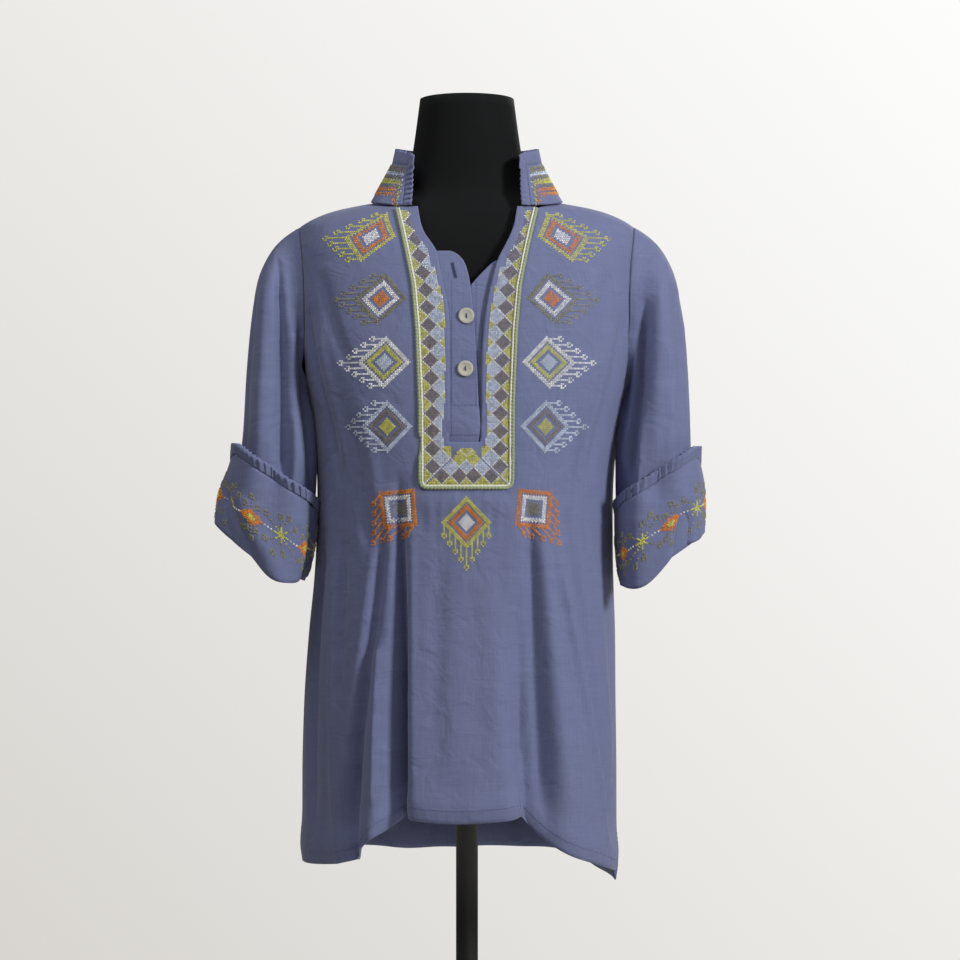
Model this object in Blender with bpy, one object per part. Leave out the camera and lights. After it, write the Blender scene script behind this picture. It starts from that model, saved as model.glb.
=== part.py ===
"""A linen tunic on a limbless dress form with a round base.

Metres, +Z up. The origin is the centre of the base's underside, and the front faces -Y.
Each piece that a maker would cut and sew on is one object, a wall of cloth built on the hollow,
worn shape that the cut takes when it hangs from the shoulders of a general figure.
"""

import math

import bmesh
import bpy
from mathutils import Vector

# Driving dimensions
NECK_POINT = 1.390          # height of the neck point of the shoulder
WALL = 0.0015               # thickness of the linen
SEAM = 0.0004               # gap left between two pieces where they are sewn together
QUARTER = math.pi / 2

# Shoulder, armhole and neckline, as heights
SHOULDER_TIP = NECK_POINT - 0.038
UNDERARM = NECK_POINT - 0.240
ARMHOLE_FRONT = 0.062       # half-width of the armhole towards the front, at its middle
ARMHOLE_BACK = 0.068
NECKLINE_TOP = NECK_POINT - 0.010
FRONT_NECKLINE = NECK_POINT - 0.022

# The set-in bib and its button placket
BIB_BOTTOM = 1.0625
BIB_EDGE = (                # half-width of the bib at each height
    (1.0625, 0.0480), (1.150, 0.0485), (1.230, 0.0520), (1.280, 0.0565), (1.310, 0.0625),
    (1.340, 0.0690), (1.368, 0.0760),
)
BIB_BAND_END = 1.1106       # where the slot for the placket ends
TUCK = 0.005                # how far a strip runs under the bib's edge

# The dress form and its stand
FORM_BOTTOM = 0.775
POST_RADIUS = 0.0125
BASE_RADIUS = 0.185
BASE_HEIGHT = 0.016

LINEN = ("linen", (0.13, 0.15, 0.29), 0.85, 0.0)
EMBROIDERED = ("embroidered_linen", (0.28, 0.30, 0.24), 0.8, 0.0)
CORD = ("piping_cord", (0.36, 0.42, 0.22), 0.8, 0.0)
SHELL = ("shell_button", (0.55, 0.53, 0.46), 0.3, 0.0)
JERSEY = ("black_jersey", (0.012, 0.012, 0.014), 0.9, 0.0)
STEEL = ("black_steel", (0.015, 0.015, 0.015), 0.4, 0.8)

# The general figure that the form gives, from the cut of the neck down to the hips.
# Columns: drop below the neck point, half width, depth in front, depth behind, squareness.
FIGURE = (
    (-0.106, 0.0530, 0.056, 0.044, 2.0),
    (-0.060, 0.0590, 0.057, 0.054, 2.0),
    (-0.030, 0.0640, 0.058, 0.062, 2.0),
    (-0.012, 0.0700, 0.060, 0.068, 2.0),
    (0.000, 0.0760, 0.063, 0.074, 2.0),
    (0.006, 0.0820, 0.066, 0.078, 2.0),
    (0.010, 0.0890, 0.068, 0.081, 2.0),
    (0.015, 0.1140, 0.070, 0.083, 2.0),
    (0.022, 0.1500, 0.074, 0.087, 2.1),
    (0.030, 0.1700, 0.079, 0.090, 2.2),
    (0.038, 0.1830, 0.083, 0.093, 2.3),
    (0.058, 0.1850, 0.093, 0.098, 2.5),
    (0.090, 0.1800, 0.102, 0.103, 2.6),
    (0.150, 0.1690, 0.117, 0.107, 2.5),
    (0.210, 0.1580, 0.130, 0.104, 2.3),
    (0.260, 0.1530, 0.133, 0.098, 2.2),
    (0.310, 0.1430, 0.119, 0.092, 2.1),
    (0.390, 0.1210, 0.093, 0.084, 2.0),
    (0.470, 0.1440, 0.100, 0.096, 2.0),
    (0.540, 0.1590, 0.105, 0.108, 2.1),
    (0.615, 0.1600, 0.104, 0.108, 2.2),
)

# How far the cloth stands off the figure where it rests on the shoulders
SHOULDER_EASE = (0.0026, 0.008, 0.0036)     # at the side, the front and the back
RESTING_ROWS = tuple(row for row in FIGURE if -0.012 <= row[0] <= 0.038)

# The hanging cloth below the shoulder tip.
# Columns: drop, half width, depth in front, depth behind, squareness, sway towards -X.
HANGING_ROWS = (
    (0.058, 0.1880, 0.1020, 0.1040, 2.6, 0.0000),
    (0.090, 0.1880, 0.1160, 0.1120, 2.7, 0.0000),
    (0.130, 0.1865, 0.1270, 0.1170, 2.8, 0.0000),
    (0.170, 0.1840, 0.1360, 0.1180, 2.8, 0.0000),
    (0.210, 0.1785, 0.1420, 0.1170, 2.7, 0.0000),
    (0.240, 0.1720, 0.1450, 0.1160, 2.6, 0.0000),
    (0.270, 0.1680, 0.1470, 0.1150, 2.4, 0.0010),
    (0.330, 0.1640, 0.1480, 0.1160, 2.3, 0.0020),
    (0.410, 0.1650, 0.1500, 0.1210, 2.2, 0.0030),
    (0.490, 0.1700, 0.1530, 0.1290, 2.2, 0.0055),
    (0.570, 0.1730, 0.1570, 0.1370, 2.2, 0.0080),
    (0.650, 0.1745, 0.1610, 0.1440, 2.2, 0.0085),
    (0.730, 0.1745, 0.1640, 0.1500, 2.2, 0.0085),
    (0.790, 0.1735, 0.1650, 0.1530, 2.2, 0.0085),
)

# Folds of the hanging cloth. A negative depth is a trough.
# Columns: place over the width where it starts, place at the hem, height where it starts,
# its width towards -X, its width towards +X, depth.
FRONT_FOLDS = (
    (-0.068, -0.064, 1.100, 0.020, 0.008, -0.030),
    (-0.088, -0.092, 1.020, 0.014, 0.014, 0.010),
    (-0.098, -0.119, 0.985, 0.014, 0.009, -0.020),
    (-0.124, -0.134, 0.960, 0.010, 0.010, 0.006),
    (-0.140, -0.149, 0.960, 0.010, 0.007, -0.012),
    (0.056, 0.084, 1.030, 0.013, 0.020, -0.024),
    (0.092, 0.116, 1.000, 0.020, 0.026, 0.008),
    (0.104, 0.154, 0.990, 0.016, 0.009, 0.007),
)
BACK_FOLDS = (
    (-0.120, -0.130, 1.050, 0.016, 0.016, 0.010),
    (-0.078, -0.090, 1.090, 0.018, 0.014, -0.018),
    (-0.036, -0.042, 1.120, 0.020, 0.020, 0.010),
    (0.002, 0.000, 1.200, 0.016, 0.014, -0.020),
    (0.040, 0.050, 1.120, 0.020, 0.020, 0.010),
    (0.082, 0.096, 1.080, 0.014, 0.018, -0.018),
    (0.122, 0.134, 1.050, 0.016, 0.016, 0.009),
)
GATHERS = 8                 # small gathers where the front is sewn to the bottom of the bib
GATHER_DEPTH = 0.0016
GATHER_LENGTH = 0.070

# The hems, as heights over the width
HEM_FRONT = (
    (-0.190, 0.6440), (-0.150, 0.6520), (-0.120, 0.6600), (-0.100, 0.6800), (-0.080, 0.6960),
    (-0.064, 0.7100), (-0.050, 0.7080), (0.000, 0.7050), (0.058, 0.7080), (0.072, 0.7110),
    (0.090, 0.6930), (0.110, 0.6700), (0.140, 0.6560), (0.168, 0.6400), (0.190, 0.6300),
)
HEM_BACK = (
    (-0.190, 0.6430), (-0.100, 0.6450), (-0.045, 0.6360), (0.000, 0.6410), (0.050, 0.6390),
    (0.100, 0.6440), (0.150, 0.6260), (0.190, 0.6200),
)

# Edges of the bib's slot and of the neck opening, as places over the width, from low to high
BIB_LEFT_EDGE = (
    (1.100, -0.0175), (1.240, -0.0180), (1.262, -0.0195), (1.290, -0.0270), (1.318, -0.0320),
    (1.328, -0.0390), (1.341, -0.0475), (1.356, -0.0510), (1.368, -0.0530),
)
BIB_RIGHT_EDGE = (
    (1.100, 0.0160), (1.190, 0.0160), (1.240, 0.0190), (1.272, 0.0245), (1.306, 0.0330),
    (1.328, 0.0440), (1.345, 0.0510), (1.368, 0.0550),
)
OVERLAP_EDGE = (
    (1.100, 0.0145), (1.190, 0.0115), (1.270, 0.0055), (1.286, 0.0035), (1.302, 0.0000),
    (1.312, -0.0060), (1.318, -0.0150),
)
UNDERLAP_EDGE = (
    (1.100, -0.0120), (1.258, -0.0080), (1.279, 0.0030), (1.308, 0.0300),
)

# Sections down each sleeve, from outer edge to inner edge as seen from the front.
# Columns: outer x, outer z, inner x, inner z, half depth, shift forwards, sag of the middle.
SLEEVE_HEAD = (
    (0.2030, 1.3435, 0.1790, 1.1490, 0.0655, -0.003, 0.000),
    (0.2170, 1.3290, 0.1805, 1.1480, 0.071, 0.002, 0.000),
    (0.2290, 1.3050, 0.1815, 1.1440, 0.073, 0.005, 0.000),
    (0.2360, 1.2700, 0.1815, 1.1380, 0.073, 0.009, 0.000),
    (0.2410, 1.2250, 0.1810, 1.1270, 0.072, 0.014, 0.000),
    (0.2445, 1.1750, 0.1805, 1.1080, 0.071, 0.019, 0.000),
    (0.2465, 1.1300, 0.1800, 1.0850, 0.070, 0.023, 0.000),
)
SLEEVE_END_LEFT = (
    (0.2480, 1.0940, 0.1800, 1.0500, 0.069, 0.026, 0.000),
    (0.2560, 1.0560, 0.1800, 1.0080, 0.068, 0.028, 0.000),
    (0.2600, 1.0120, 0.1790, 0.9560, 0.067, 0.030, 0.000),
)
SLEEVE_END_RIGHT = (
    (0.2500, 1.0980, 0.1810, 1.0520, 0.069, 0.026, 0.002),
    (0.2610, 1.0640, 0.1820, 1.0120, 0.068, 0.028, 0.006),
    (0.2740, 1.0300, 0.1860, 0.9670, 0.067, 0.030, 0.014),
)
SLEEVE_ROW_STEP = 0.042     # distance between the last rows, along the sleeve
SLEEVE_AROUND = 20
CUFF_AROUND = 40
SLEEVE_LOBE = 0.012         # the inner front of the sleeve bulges past the body's side
SLEEVE_CREASE = 0.009       # and a long crease divides it from the rest
CUFF_FRONT = 0.085          # how far the cuff is turned up, at the front and at the back
CUFF_BACK = 0.046
CUFF_STAND = 0.0065         # how far its free edge stands off the sleeve

RUFFLE_WALL = 0.0011
RUFFLE_GAP = 0.0011         # between a ruffle's root and the edge that it is sewn to
RUFFLE_DEPTH = 0.0024
CUFF_RUFFLE = 0.012
CUFF_PLEATS = 50
COLLAR_RUFFLE = 0.017
END_RUFFLE = 0.010          # the collar's ruffle is narrower down its front ends
COLLAR_PLEATS = 46
END_PLEATS = 8              # pleats down each front end of the collar

COLLAR_HEIGHT = 0.046
COLLAR_TOP = (0.0825, 0.0830, 0.0800)       # half-width, front and back of its upper edge
COLLAR_START = (math.radians(26), math.radians(52))     # its front end, at the neckline and on top

BUTTON_RADIUS = 0.0085
BUTTONS = ((0.000, 1.2458), (-0.001, 1.1889))

materials = {}


def clear_scene():
    for existing in list(bpy.data.objects):
        bpy.data.objects.remove(existing, do_unlink=True)


def material(spec):
    name, colour, roughness, metallic = spec
    if name not in materials:
        made = bpy.data.materials.new(name)
        made.use_nodes = True
        shader = made.node_tree.nodes["Principled BSDF"]
        shader.inputs["Base Color"].default_value = (*colour, 1.0)
        shader.inputs["Roughness"].default_value = roughness
        shader.inputs["Metallic"].default_value = metallic
        materials[name] = made
    return materials[name]


def add_object(name, mesh_maker, spec):
    """An object from a bmesh, shaded smooth and linked to the scene."""
    mesh = bpy.data.meshes.new(name)
    mesh_maker.to_mesh(mesh)
    mesh_maker.free()
    mesh.materials.append(material(spec))
    mesh.shade_smooth()
    mesh.set_sharp_from_angle(angle=math.radians(50))
    made = bpy.data.objects.new(name, mesh)
    bpy.context.scene.collection.objects.link(made)
    return made


def smooth_through(points, at):
    """The values at one place of a curve through rows of (place, value, ...), without overshoot."""
    at = min(max(at, points[0][0]), points[-1][0])
    last = len(points) - 1
    i = next(k for k in range(last) if at <= points[k + 1][0])
    near, far = points[i], points[i + 1]
    span = far[0] - near[0]
    share = (at - near[0]) / span
    found = []
    for c in range(1, len(near)):
        rise = (far[c] - near[c]) / span
        slopes = []
        for k in (i, i + 1):
            if k in (0, last):
                slopes.append(rise)
                continue
            before = (points[k][c] - points[k - 1][c]) / (points[k][0] - points[k - 1][0])
            after = (points[k + 1][c] - points[k][c]) / (points[k + 1][0] - points[k][0])
            turns = before * after <= 0
            slopes.append(0.0 if turns else 2 * before * after / (before + after))
        s, t = share, 1 - share
        found.append(
            near[c] * (1 + 2 * s) * t * t + far[c] * (1 + 2 * t) * s * s
            + span * s * t * (slopes[0] * t - slopes[1] * s)
        )
    return found


def ramp(value, start, end):
    """0 at start, 1 at end, smooth between them."""
    share = min(max((value - start) / (end - start), 0.0), 1.0)
    return share * share * (3 - 2 * share)


def resting_rows():
    side, front, back = SHOULDER_EASE
    for drop, half_width, fore, aft, square in RESTING_ROWS:
        yield (drop, half_width + side, fore + front, aft + back, square, 0.0)


TUNIC = tuple(resting_rows()) + HANGING_ROWS


def oval_point(turn, half_width, front, back, square):
    """A point of a rounded oval section. turn is 0 at the front and a quarter at +X."""
    across, along = math.sin(turn), math.cos(turn)
    depth = front if along > 0 else back
    x = half_width * math.copysign(abs(across) ** (2 / square), across)
    y = -depth * math.copysign(abs(along) ** (2 / square), along)
    return x, y


def fold_depth(x, z, folds, hem):
    """How far the folds move the cloth out at one place."""
    total = 0.0
    for across_top, across_hem, top, left_width, right_width, depth in folds:
        if z >= top:
            continue
        fall = (top - z) / (top - hem)
        line = across_top + (across_hem - across_top) * fall
        grown = ramp(fall, 0.0, 0.75)
        width = (right_width if x > line else left_width) * (0.75 + 0.25 * grown)
        offset = (x - line) / width
        total += depth * grown * math.exp(-offset * offset)
    return total


def bib_half(z):
    return smooth_through(BIB_EDGE, z)[0]


def gather_depth(x, z):
    """The gathers below the bib, which fade out downwards."""
    half = bib_half(BIB_BOTTOM)
    below = BIB_BOTTOM - z
    if abs(x) > half or below < 0:
        return 0.0
    fade = ramp(below, 0.0, 0.2 * GATHER_LENGTH) * (1 - ramp(below, 0.2 * GATHER_LENGTH, GATHER_LENGTH))
    return GATHER_DEPTH * fade * math.cos(math.pi * GATHERS * (x + half) / half)


def cloth_surface(turn, z):
    """The inner face of the tunic's body, before it is moved out."""
    half_width, front, back, square, sway = smooth_through(TUNIC, NECK_POINT - z)
    x, y = oval_point(turn, half_width, front, back, square)
    faces_front = math.cos(turn) > 0
    folds, hem = (FRONT_FOLDS, 0.66) if faces_front else (BACK_FOLDS, 0.64)
    moved = fold_depth(x, z, folds, hem)
    if faces_front:
        moved += gather_depth(x, z)
    depth = front if faces_front else back
    out = Vector((x / half_width**2, y / depth**2, 0.0)).normalized()
    return Vector((x - sway, y, z)) + out * moved


def body_point(turn, z, lift=0.0):
    """A point of the tunic's body, moved out from its inner face by lift."""
    point = cloth_surface(turn, z)
    if not lift:
        return point
    step = 0.002
    around = cloth_surface(turn + step * 4, z) - cloth_surface(turn - step * 4, z)
    upward = cloth_surface(turn, z + step) - cloth_surface(turn, z - step)
    return point + around.cross(upward).normalized() * lift


def turn_at_width(x, z):
    """The turn at which the front has this place over the width."""
    half_width, _, _, square, _ = smooth_through(TUNIC, NECK_POINT - z)
    share = min(abs(x) / half_width, 1.0) ** (square / 2)
    return math.copysign(math.asin(min(share, 1.0)), x)


def turn_at_depth(y, z, towards_front):
    """The turn, between the front and the back at +X, at which the section has this depth."""
    _, front, back, square, _ = smooth_through(TUNIC, NECK_POINT - z)
    share = (y / (front if towards_front else back)) ** (square / 2)
    turn = math.acos(min(share, 1.0))
    return turn if towards_front else math.pi - turn


def front_point(x, z, lift=0.0):
    return body_point(turn_at_width(x, z), z, lift)


def armhole_depth(z, towards_front):
    """Half the armhole's width at this height, or the seam's share where there is no armhole."""
    middle, half = (SHOULDER_TIP + UNDERARM) / 2, (SHOULDER_TIP - UNDERARM) / 2
    off = (z - middle) / half
    widest = ARMHOLE_FRONT if towards_front else ARMHOLE_BACK
    open_half = widest * math.sqrt(max(1 - off * off, 0.0))
    return max(open_half, SEAM / 2)


def side_turn(z, towards_front):
    """The turn of a panel's side edge: the shoulder seam, the armhole or the side seam."""
    return turn_at_depth(armhole_depth(z, towards_front), z, towards_front)


def panel_heights():
    """Rows of a panel down to the underarm, closer together where the armhole curves."""
    middle, half = (SHOULDER_TIP + UNDERARM) / 2, (SHOULDER_TIP - UNDERARM) / 2
    armhole_rows = SLEEVE_AROUND // 2
    neck = [NECKLINE_TOP + (FRONT_NECKLINE - NECKLINE_TOP) * share for share in (0, 0.33, 0.67)]
    turns = [math.pi * i / armhole_rows for i in range(armhole_rows + 1)]
    shoulder = [FRONT_NECKLINE, (FRONT_NECKLINE + SHOULDER_TIP) / 2]
    return neck + shoulder + [middle + half * math.cos(turn) for turn in turns]


def neckline_start():
    """The turn at which the neckline meets the bib."""
    return turn_at_width(bib_half(FRONT_NECKLINE), FRONT_NECKLINE)


def neckline_height(turn):
    """Height of the neckline: it drops from the shoulder to the bib, and is level behind."""
    share = (QUARTER - abs(turn)) / (QUARTER - neckline_start())
    return NECKLINE_TOP - (NECKLINE_TOP - FRONT_NECKLINE) * min(max(share, 0.0), 1.0)


def neckline_turn(z):
    """The turn at which the front's neckline has this height."""
    share = (NECKLINE_TOP - z) / (NECKLINE_TOP - FRONT_NECKLINE)
    return QUARTER - (QUARTER - neckline_start()) * share


def cloth_piece(name, rows, spec, thickness=WALL, around=False):
    """A wall of cloth on rows of points, thickened outwards. None marks a place with no cloth."""
    maker = bmesh.new()
    grid = [[None if p is None else maker.verts.new(p) for p in row] for row in rows]
    columns = len(grid[0])
    for upper, lower in zip(grid, grid[1:]):
        for i in range(columns if around else columns - 1):
            j = (i + 1) % columns
            corners = (upper[i], lower[i], lower[j], upper[j])
            if None not in corners:
                maker.faces.new(corners)
    made = add_object(name, maker, spec)
    wall = made.modifiers.new("wall", "SOLIDIFY")
    wall.thickness = thickness
    wall.offset = 1.0
    return made


SIDE_SHARES = (0.0, 0.035, 0.07, 0.105, 0.145, 0.20, 0.27, 0.35, 0.44, 0.54, 0.65, 0.77, 0.89, 1.0)
LOWER_ROWS = 11


def front_heights():
    return panel_heights() + [1.130, BIB_BAND_END, 1.087, BIB_BOTTOM]


def front_panel():
    """The front, with a notch for the bib from the neckline down."""
    notch_columns = 2 * GATHERS
    notch_shares = [i / notch_columns for i in range(1, notch_columns)]
    rows = []
    for z in front_heights():
        outer = side_turn(z, True)
        inner = neckline_turn(z) if z > FRONT_NECKLINE else turn_at_width(bib_half(z), z)
        inner = min(inner, outer - 0.002)
        turns = [inner + (outer - inner) * share for share in SIDE_SHARES]
        left = [body_point(-turn, z) for turn in reversed(turns)]
        right = [body_point(turn, z) for turn in turns]
        middle = [None] * len(notch_shares)
        if z == BIB_BOTTOM:
            middle = [front_point(bib_half(z) * (2 * s - 1), z) for s in notch_shares]
        rows.append(left + middle + right)
    notch = bib_half(BIB_BOTTOM)

    def height_at(across, fall):
        return BIB_BOTTOM + (smooth_through(HEM_FRONT, across)[0] - BIB_BOTTOM) * fall

    def side_point(share, side, fall):
        """A point below the bib's level, beside it. share is 1 at the side seam."""
        start, end = turn_at_width(notch, BIB_BOTTOM), side_turn(BIB_BOTTOM, True)
        half_width, _, _, square, _ = TUNIC[-1][1:]
        across = half_width * math.sin(start + (end - start) * share) ** (2 / square)
        z = height_at(side * across, fall)
        start, end = turn_at_width(notch, z), side_turn(z, True)
        return body_point(side * (start + (end - start) * share), z)

    def middle_point(share, fall):
        x = notch * (2 * share - 1)
        return front_point(x, height_at(x, fall))

    for i in range(1, LOWER_ROWS + 1):
        fall = i / LOWER_ROWS
        left = [side_point(share, -1, fall) for share in reversed(SIDE_SHARES)]
        right = [side_point(share, 1, fall) for share in SIDE_SHARES]
        rows.append(left + [middle_point(share, fall) for share in notch_shares] + right)
    return cloth_piece("front_panel", rows, LINEN)


def back_panel():
    columns = 26
    rows = []
    for z in panel_heights():
        start = side_turn(z, False)
        span = 2 * (math.pi - start)
        rows.append([body_point(start + span * i / columns, z) for i in range(columns + 1)])
    for i in range(1, LOWER_ROWS + 1):
        row = []
        for k in range(columns + 1):
            share = k / columns
            across = TUNIC[-1][1] * math.cos(math.pi * share)
            hem = smooth_through(HEM_BACK, across)[0]
            z = UNDERARM + (hem - UNDERARM) * i / LOWER_ROWS
            start = side_turn(z, False)
            row.append(body_point(start + 2 * (math.pi - start) * share, z))
        rows.append(row)
    return cloth_piece("back_panel", rows, LINEN)


def armhole_loop():
    """The +X sleeve's first ring, on the outer face of the panels, from the shoulder backwards."""
    middle, half = (SHOULDER_TIP + UNDERARM) / 2, (SHOULDER_TIP - UNDERARM) / 2
    ring = []
    for i in range(SLEEVE_AROUND):
        angle = 2 * math.pi * i / SLEEVE_AROUND
        z = middle + half * math.cos(angle)
        ring.append(body_point(side_turn(z, math.sin(angle) < 0), z, WALL + 2 * SEAM))
    return ring


def sleeve_point(rows, place, angle, lift=0.0):
    """A point of the +X sleeve. place counts rows from the head; angle runs outer, back, inner, front."""
    numbered = [(i, *row) for i, row in enumerate(rows)]
    outer_x, outer_z, inner_x, inner_z, depth, forward, sag = smooth_through(numbered, place)
    outer, inner = Vector((outer_x, 0, outer_z)), Vector((inner_x, 0, inner_z))
    half = (outer - inner) / 2
    along, side = math.cos(angle), math.sin(angle)
    fuller = 2 / (2 + 0.3 * ramp(place, 0.0, 2.0))
    reach = math.copysign(abs(along) ** fuller, along)
    swing = math.copysign(abs(side) ** fuller, side)
    grown = ramp(place, 1.0, 5.0)
    eased = grown * (1 - 0.8 * ramp(place, 6.5, 8.5))
    lobe = SLEEVE_LOBE * grown * math.exp(-(((angle - 3.90) / 0.45) ** 2))
    crease = SLEEVE_CREASE * eased * math.exp(-(((angle - 4.55) / 0.26) ** 2))
    back_crease = 0.6 * SLEEVE_CREASE * eased * math.exp(-(((angle - 1.85) / 0.32) ** 2))
    out = half.normalized() * along / max(half.length, depth) + Vector((0, side / depth, 0))
    middle = (outer + inner) / 2 - Vector((0, forward, sag * abs(side)))
    base = middle + half * reach + Vector((0, depth * swing, 0))
    return base + out.normalized() * (lobe - crease - back_crease + lift)


def around_sleeve():
    return [2 * math.pi * i / SLEEVE_AROUND for i in range(SLEEVE_AROUND)]


def mirrored(rows):
    """The same rows on the other side, turned so that their faces still point out."""
    return [[Vector((-p.x, p.y, p.z)) for p in reversed(row)] for row in rows]


def sleeve_rows(sections):
    made = [armhole_loop()]
    for place in range(len(sections)):
        made.append([sleeve_point(sections, place, angle) for angle in around_sleeve()])
    return made


def cuff_surface(sections):
    """The turned-up cuff as a strip: along runs 0 to 1 round it, and up 0 to 1 to its free edge."""

    def surface(along, up):
        angle = 2 * math.pi * along
        turn_up = CUFF_BACK + (CUFF_FRONT - CUFF_BACK) * ramp(-math.sin(angle), -0.9, 0.8)
        place = len(sections) - 1 - up * turn_up / SLEEVE_ROW_STEP
        stand = WALL + 3 * SEAM + CUFF_STAND * ramp(up, 0.0, 0.6)
        return sleeve_point(sections, place, angle % (2 * math.pi), stand)

    return surface


def collar_surface(along, up):
    """The collar as a strip from its left front end round the neck, and up to its upper edge."""
    foot, top = COLLAR_START
    base_turn = foot + 2 * (math.pi - foot) * along
    top_turn = top + 2 * (math.pi - top) * along
    signed = base_turn if base_turn <= math.pi else base_turn - 2 * math.pi
    base = body_point(signed, neckline_height(signed), WALL + SEAM) + Vector((0, 0, SEAM))
    x, y = oval_point(top_turn, *COLLAR_TOP, 2.0)
    edge = Vector((x, y, base.z + COLLAR_HEIGHT))
    return base + (edge - base) * up


def strip_frame(surface, along, up):
    """A point of a strip, with the directions out of its cloth, up it and along it."""
    step = 0.01
    ahead = surface(along + step, up) - surface(along - step, up)
    top, low = min(up + step, 1.0), min(up + step, 1.0) - 2 * step
    rise = (surface(along, top) - surface(along, low)).normalized()
    out = ahead.cross(rise).normalized()
    return surface(along, up), out, rise, ahead.normalized()


def strip_rows(surface, columns, around):
    shares = [i / columns for i in range(columns if around else columns + 1)]
    return [[surface(share, up) for share in shares] for up in (1.0, 0.67, 0.33, 0.0)]


def ruffle_rows(surface, pleats, end_pleats, full_length, end_length):
    """A knife-pleated ruffle on a strip's free edge and down both its ends."""
    total = pleats + 2 * end_pleats
    end = end_pleats / total
    upper, lower = [], []
    for i in range(2 * total + 1):
        folded = i % 2
        share = min((i // 2 + (0.72 if folded else 0.0)) / total, 1.0)
        corner = min(share, 1 - share)
        along = min(max((share - end) / (1 - 2 * end), 0.0), 1.0)
        up = min(corner / end, 1.0) if end else 1.0
        point, out, rise, ahead = strip_frame(surface, along, up)
        turned = 1 - ramp(corner, 0.75 * end, 1.25 * end) if end else 0.0
        length = full_length + (end_length - full_length) * turned
        ahead = ahead if along > 0.5 else -ahead
        away = (rise * (1 - turned) + ahead * turned).normalized()
        lower.append(point + away * RUFFLE_GAP + out * RUFFLE_DEPTH * 0.4 * folded)
        upper.append(point + away * (RUFFLE_GAP + length) + out * RUFFLE_DEPTH * (0.6 + folded))
    return [upper, lower] if end else [upper[:-1], lower[:-1]]


def bib():
    """The U-shaped bib, set into the notch of the front."""
    band = (0.0, 0.34, 0.67, 1.0)
    slot = [i / 4 for i in range(1, 4)]
    neck_rows = [1.337, 1.319, 1.310, 1.290]
    heights = sorted(neck_rows + [z for z in front_heights() if z <= FRONT_NECKLINE], reverse=True)
    heights[-1] += SEAM
    rows = []
    for z in heights:
        outer = bib_half(z) - SEAM - 0.0002
        left_edge = smooth_through(BIB_LEFT_EDGE, z)[0]
        right_edge = smooth_through(BIB_RIGHT_EDGE, z)[0]
        left = [front_point(-outer + (left_edge + outer) * s, z) for s in band]
        right = [front_point(right_edge + (outer - right_edge) * s, z) for s in band]
        middle = [None] * len(slot)
        if z <= BIB_BAND_END:
            middle = [front_point(left_edge + (right_edge - left_edge) * s, z) for s in slot]
        rows.append(left + middle + right)
    cloth_piece("bib", rows, EMBROIDERED)


def placket_strip(name, left_edge, right_edge, heights, lift):
    columns = 4
    rows = []
    for z in heights + [1.265, 1.235, 1.195, 1.150, BIB_BAND_END - TUCK]:
        low, high = left_edge(z), right_edge(z)
        xs = [low + (high - low) * i / columns for i in range(columns + 1)]
        rows.append([front_point(x, z, lift) for x in xs])
    cloth_piece(name, rows, LINEN)


def placket():
    """The overlap, with its rounded free corner, and the underlap that follows the neck opening."""
    placket_strip(
        "placket_overlap",
        lambda z: smooth_through(BIB_LEFT_EDGE, z)[0] - TUCK,
        lambda z: smooth_through(OVERLAP_EDGE, z)[0],
        [1.318, 1.312, 1.302, 1.286],
        -(WALL + SEAM + 0.0003),
    )
    placket_strip(
        "placket_underlap",
        lambda z: smooth_through(UNDERLAP_EDGE, z)[0],
        lambda z: smooth_through(BIB_RIGHT_EDGE, z)[0] + TUCK,
        [1.308, 1.293, 1.279],
        -2 * (WALL + SEAM + 0.0003),
    )


def piping():
    """A cord along the seam between the bib and the front."""
    radius, corner, sides = 0.0022, 0.006, 6
    top = FRONT_NECKLINE - 0.004
    side_steps, corner_steps, bottom_steps = 13, 3, 7
    half = bib_half(BIB_BOTTOM)
    path = []
    for i in range(side_steps):
        z = top + (BIB_BOTTOM + corner - top) * i / side_steps
        path.append((-bib_half(z), z))
    for i in range(corner_steps):
        angle = QUARTER * i / corner_steps
        x = -half + corner * (1 - math.cos(angle))
        path.append((x, BIB_BOTTOM + corner * (1 - math.sin(angle))))
    reach = half - corner
    bottom = [(-reach * (1 - 2 * i / bottom_steps), BIB_BOTTOM) for i in range(bottom_steps + 1)]
    path = path + bottom + [(-x, z) for x, z in reversed(path)]
    stand = WALL + radius + 0.0010
    centres = [front_point(x, z, stand) for x, z in path]
    normals = [(front_point(x, z, 2 * stand) - front_point(x, z)).normalized() for x, z in path]
    maker = bmesh.new()
    rings = []
    for i, centre in enumerate(centres):
        ahead = centres[min(i + 1, len(centres) - 1)] - centres[max(i - 1, 0)]
        side = ahead.cross(normals[i]).normalized()
        ring = []
        for k in range(sides):
            angle = 2 * math.pi * k / sides
            ring.append(centre + (normals[i] * math.cos(angle) + side * math.sin(angle)) * radius)
        rings.append([maker.verts.new(point) for point in ring])
    for near, far in zip(rings, rings[1:]):
        for k in range(sides):
            j = (k + 1) % sides
            maker.faces.new((near[k], near[j], far[j], far[k]))
    maker.faces.new(rings[0])
    maker.faces.new(rings[-1])
    bmesh.ops.recalc_face_normals(maker, faces=maker.faces)
    add_object("bib_piping", maker, CORD)


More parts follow.
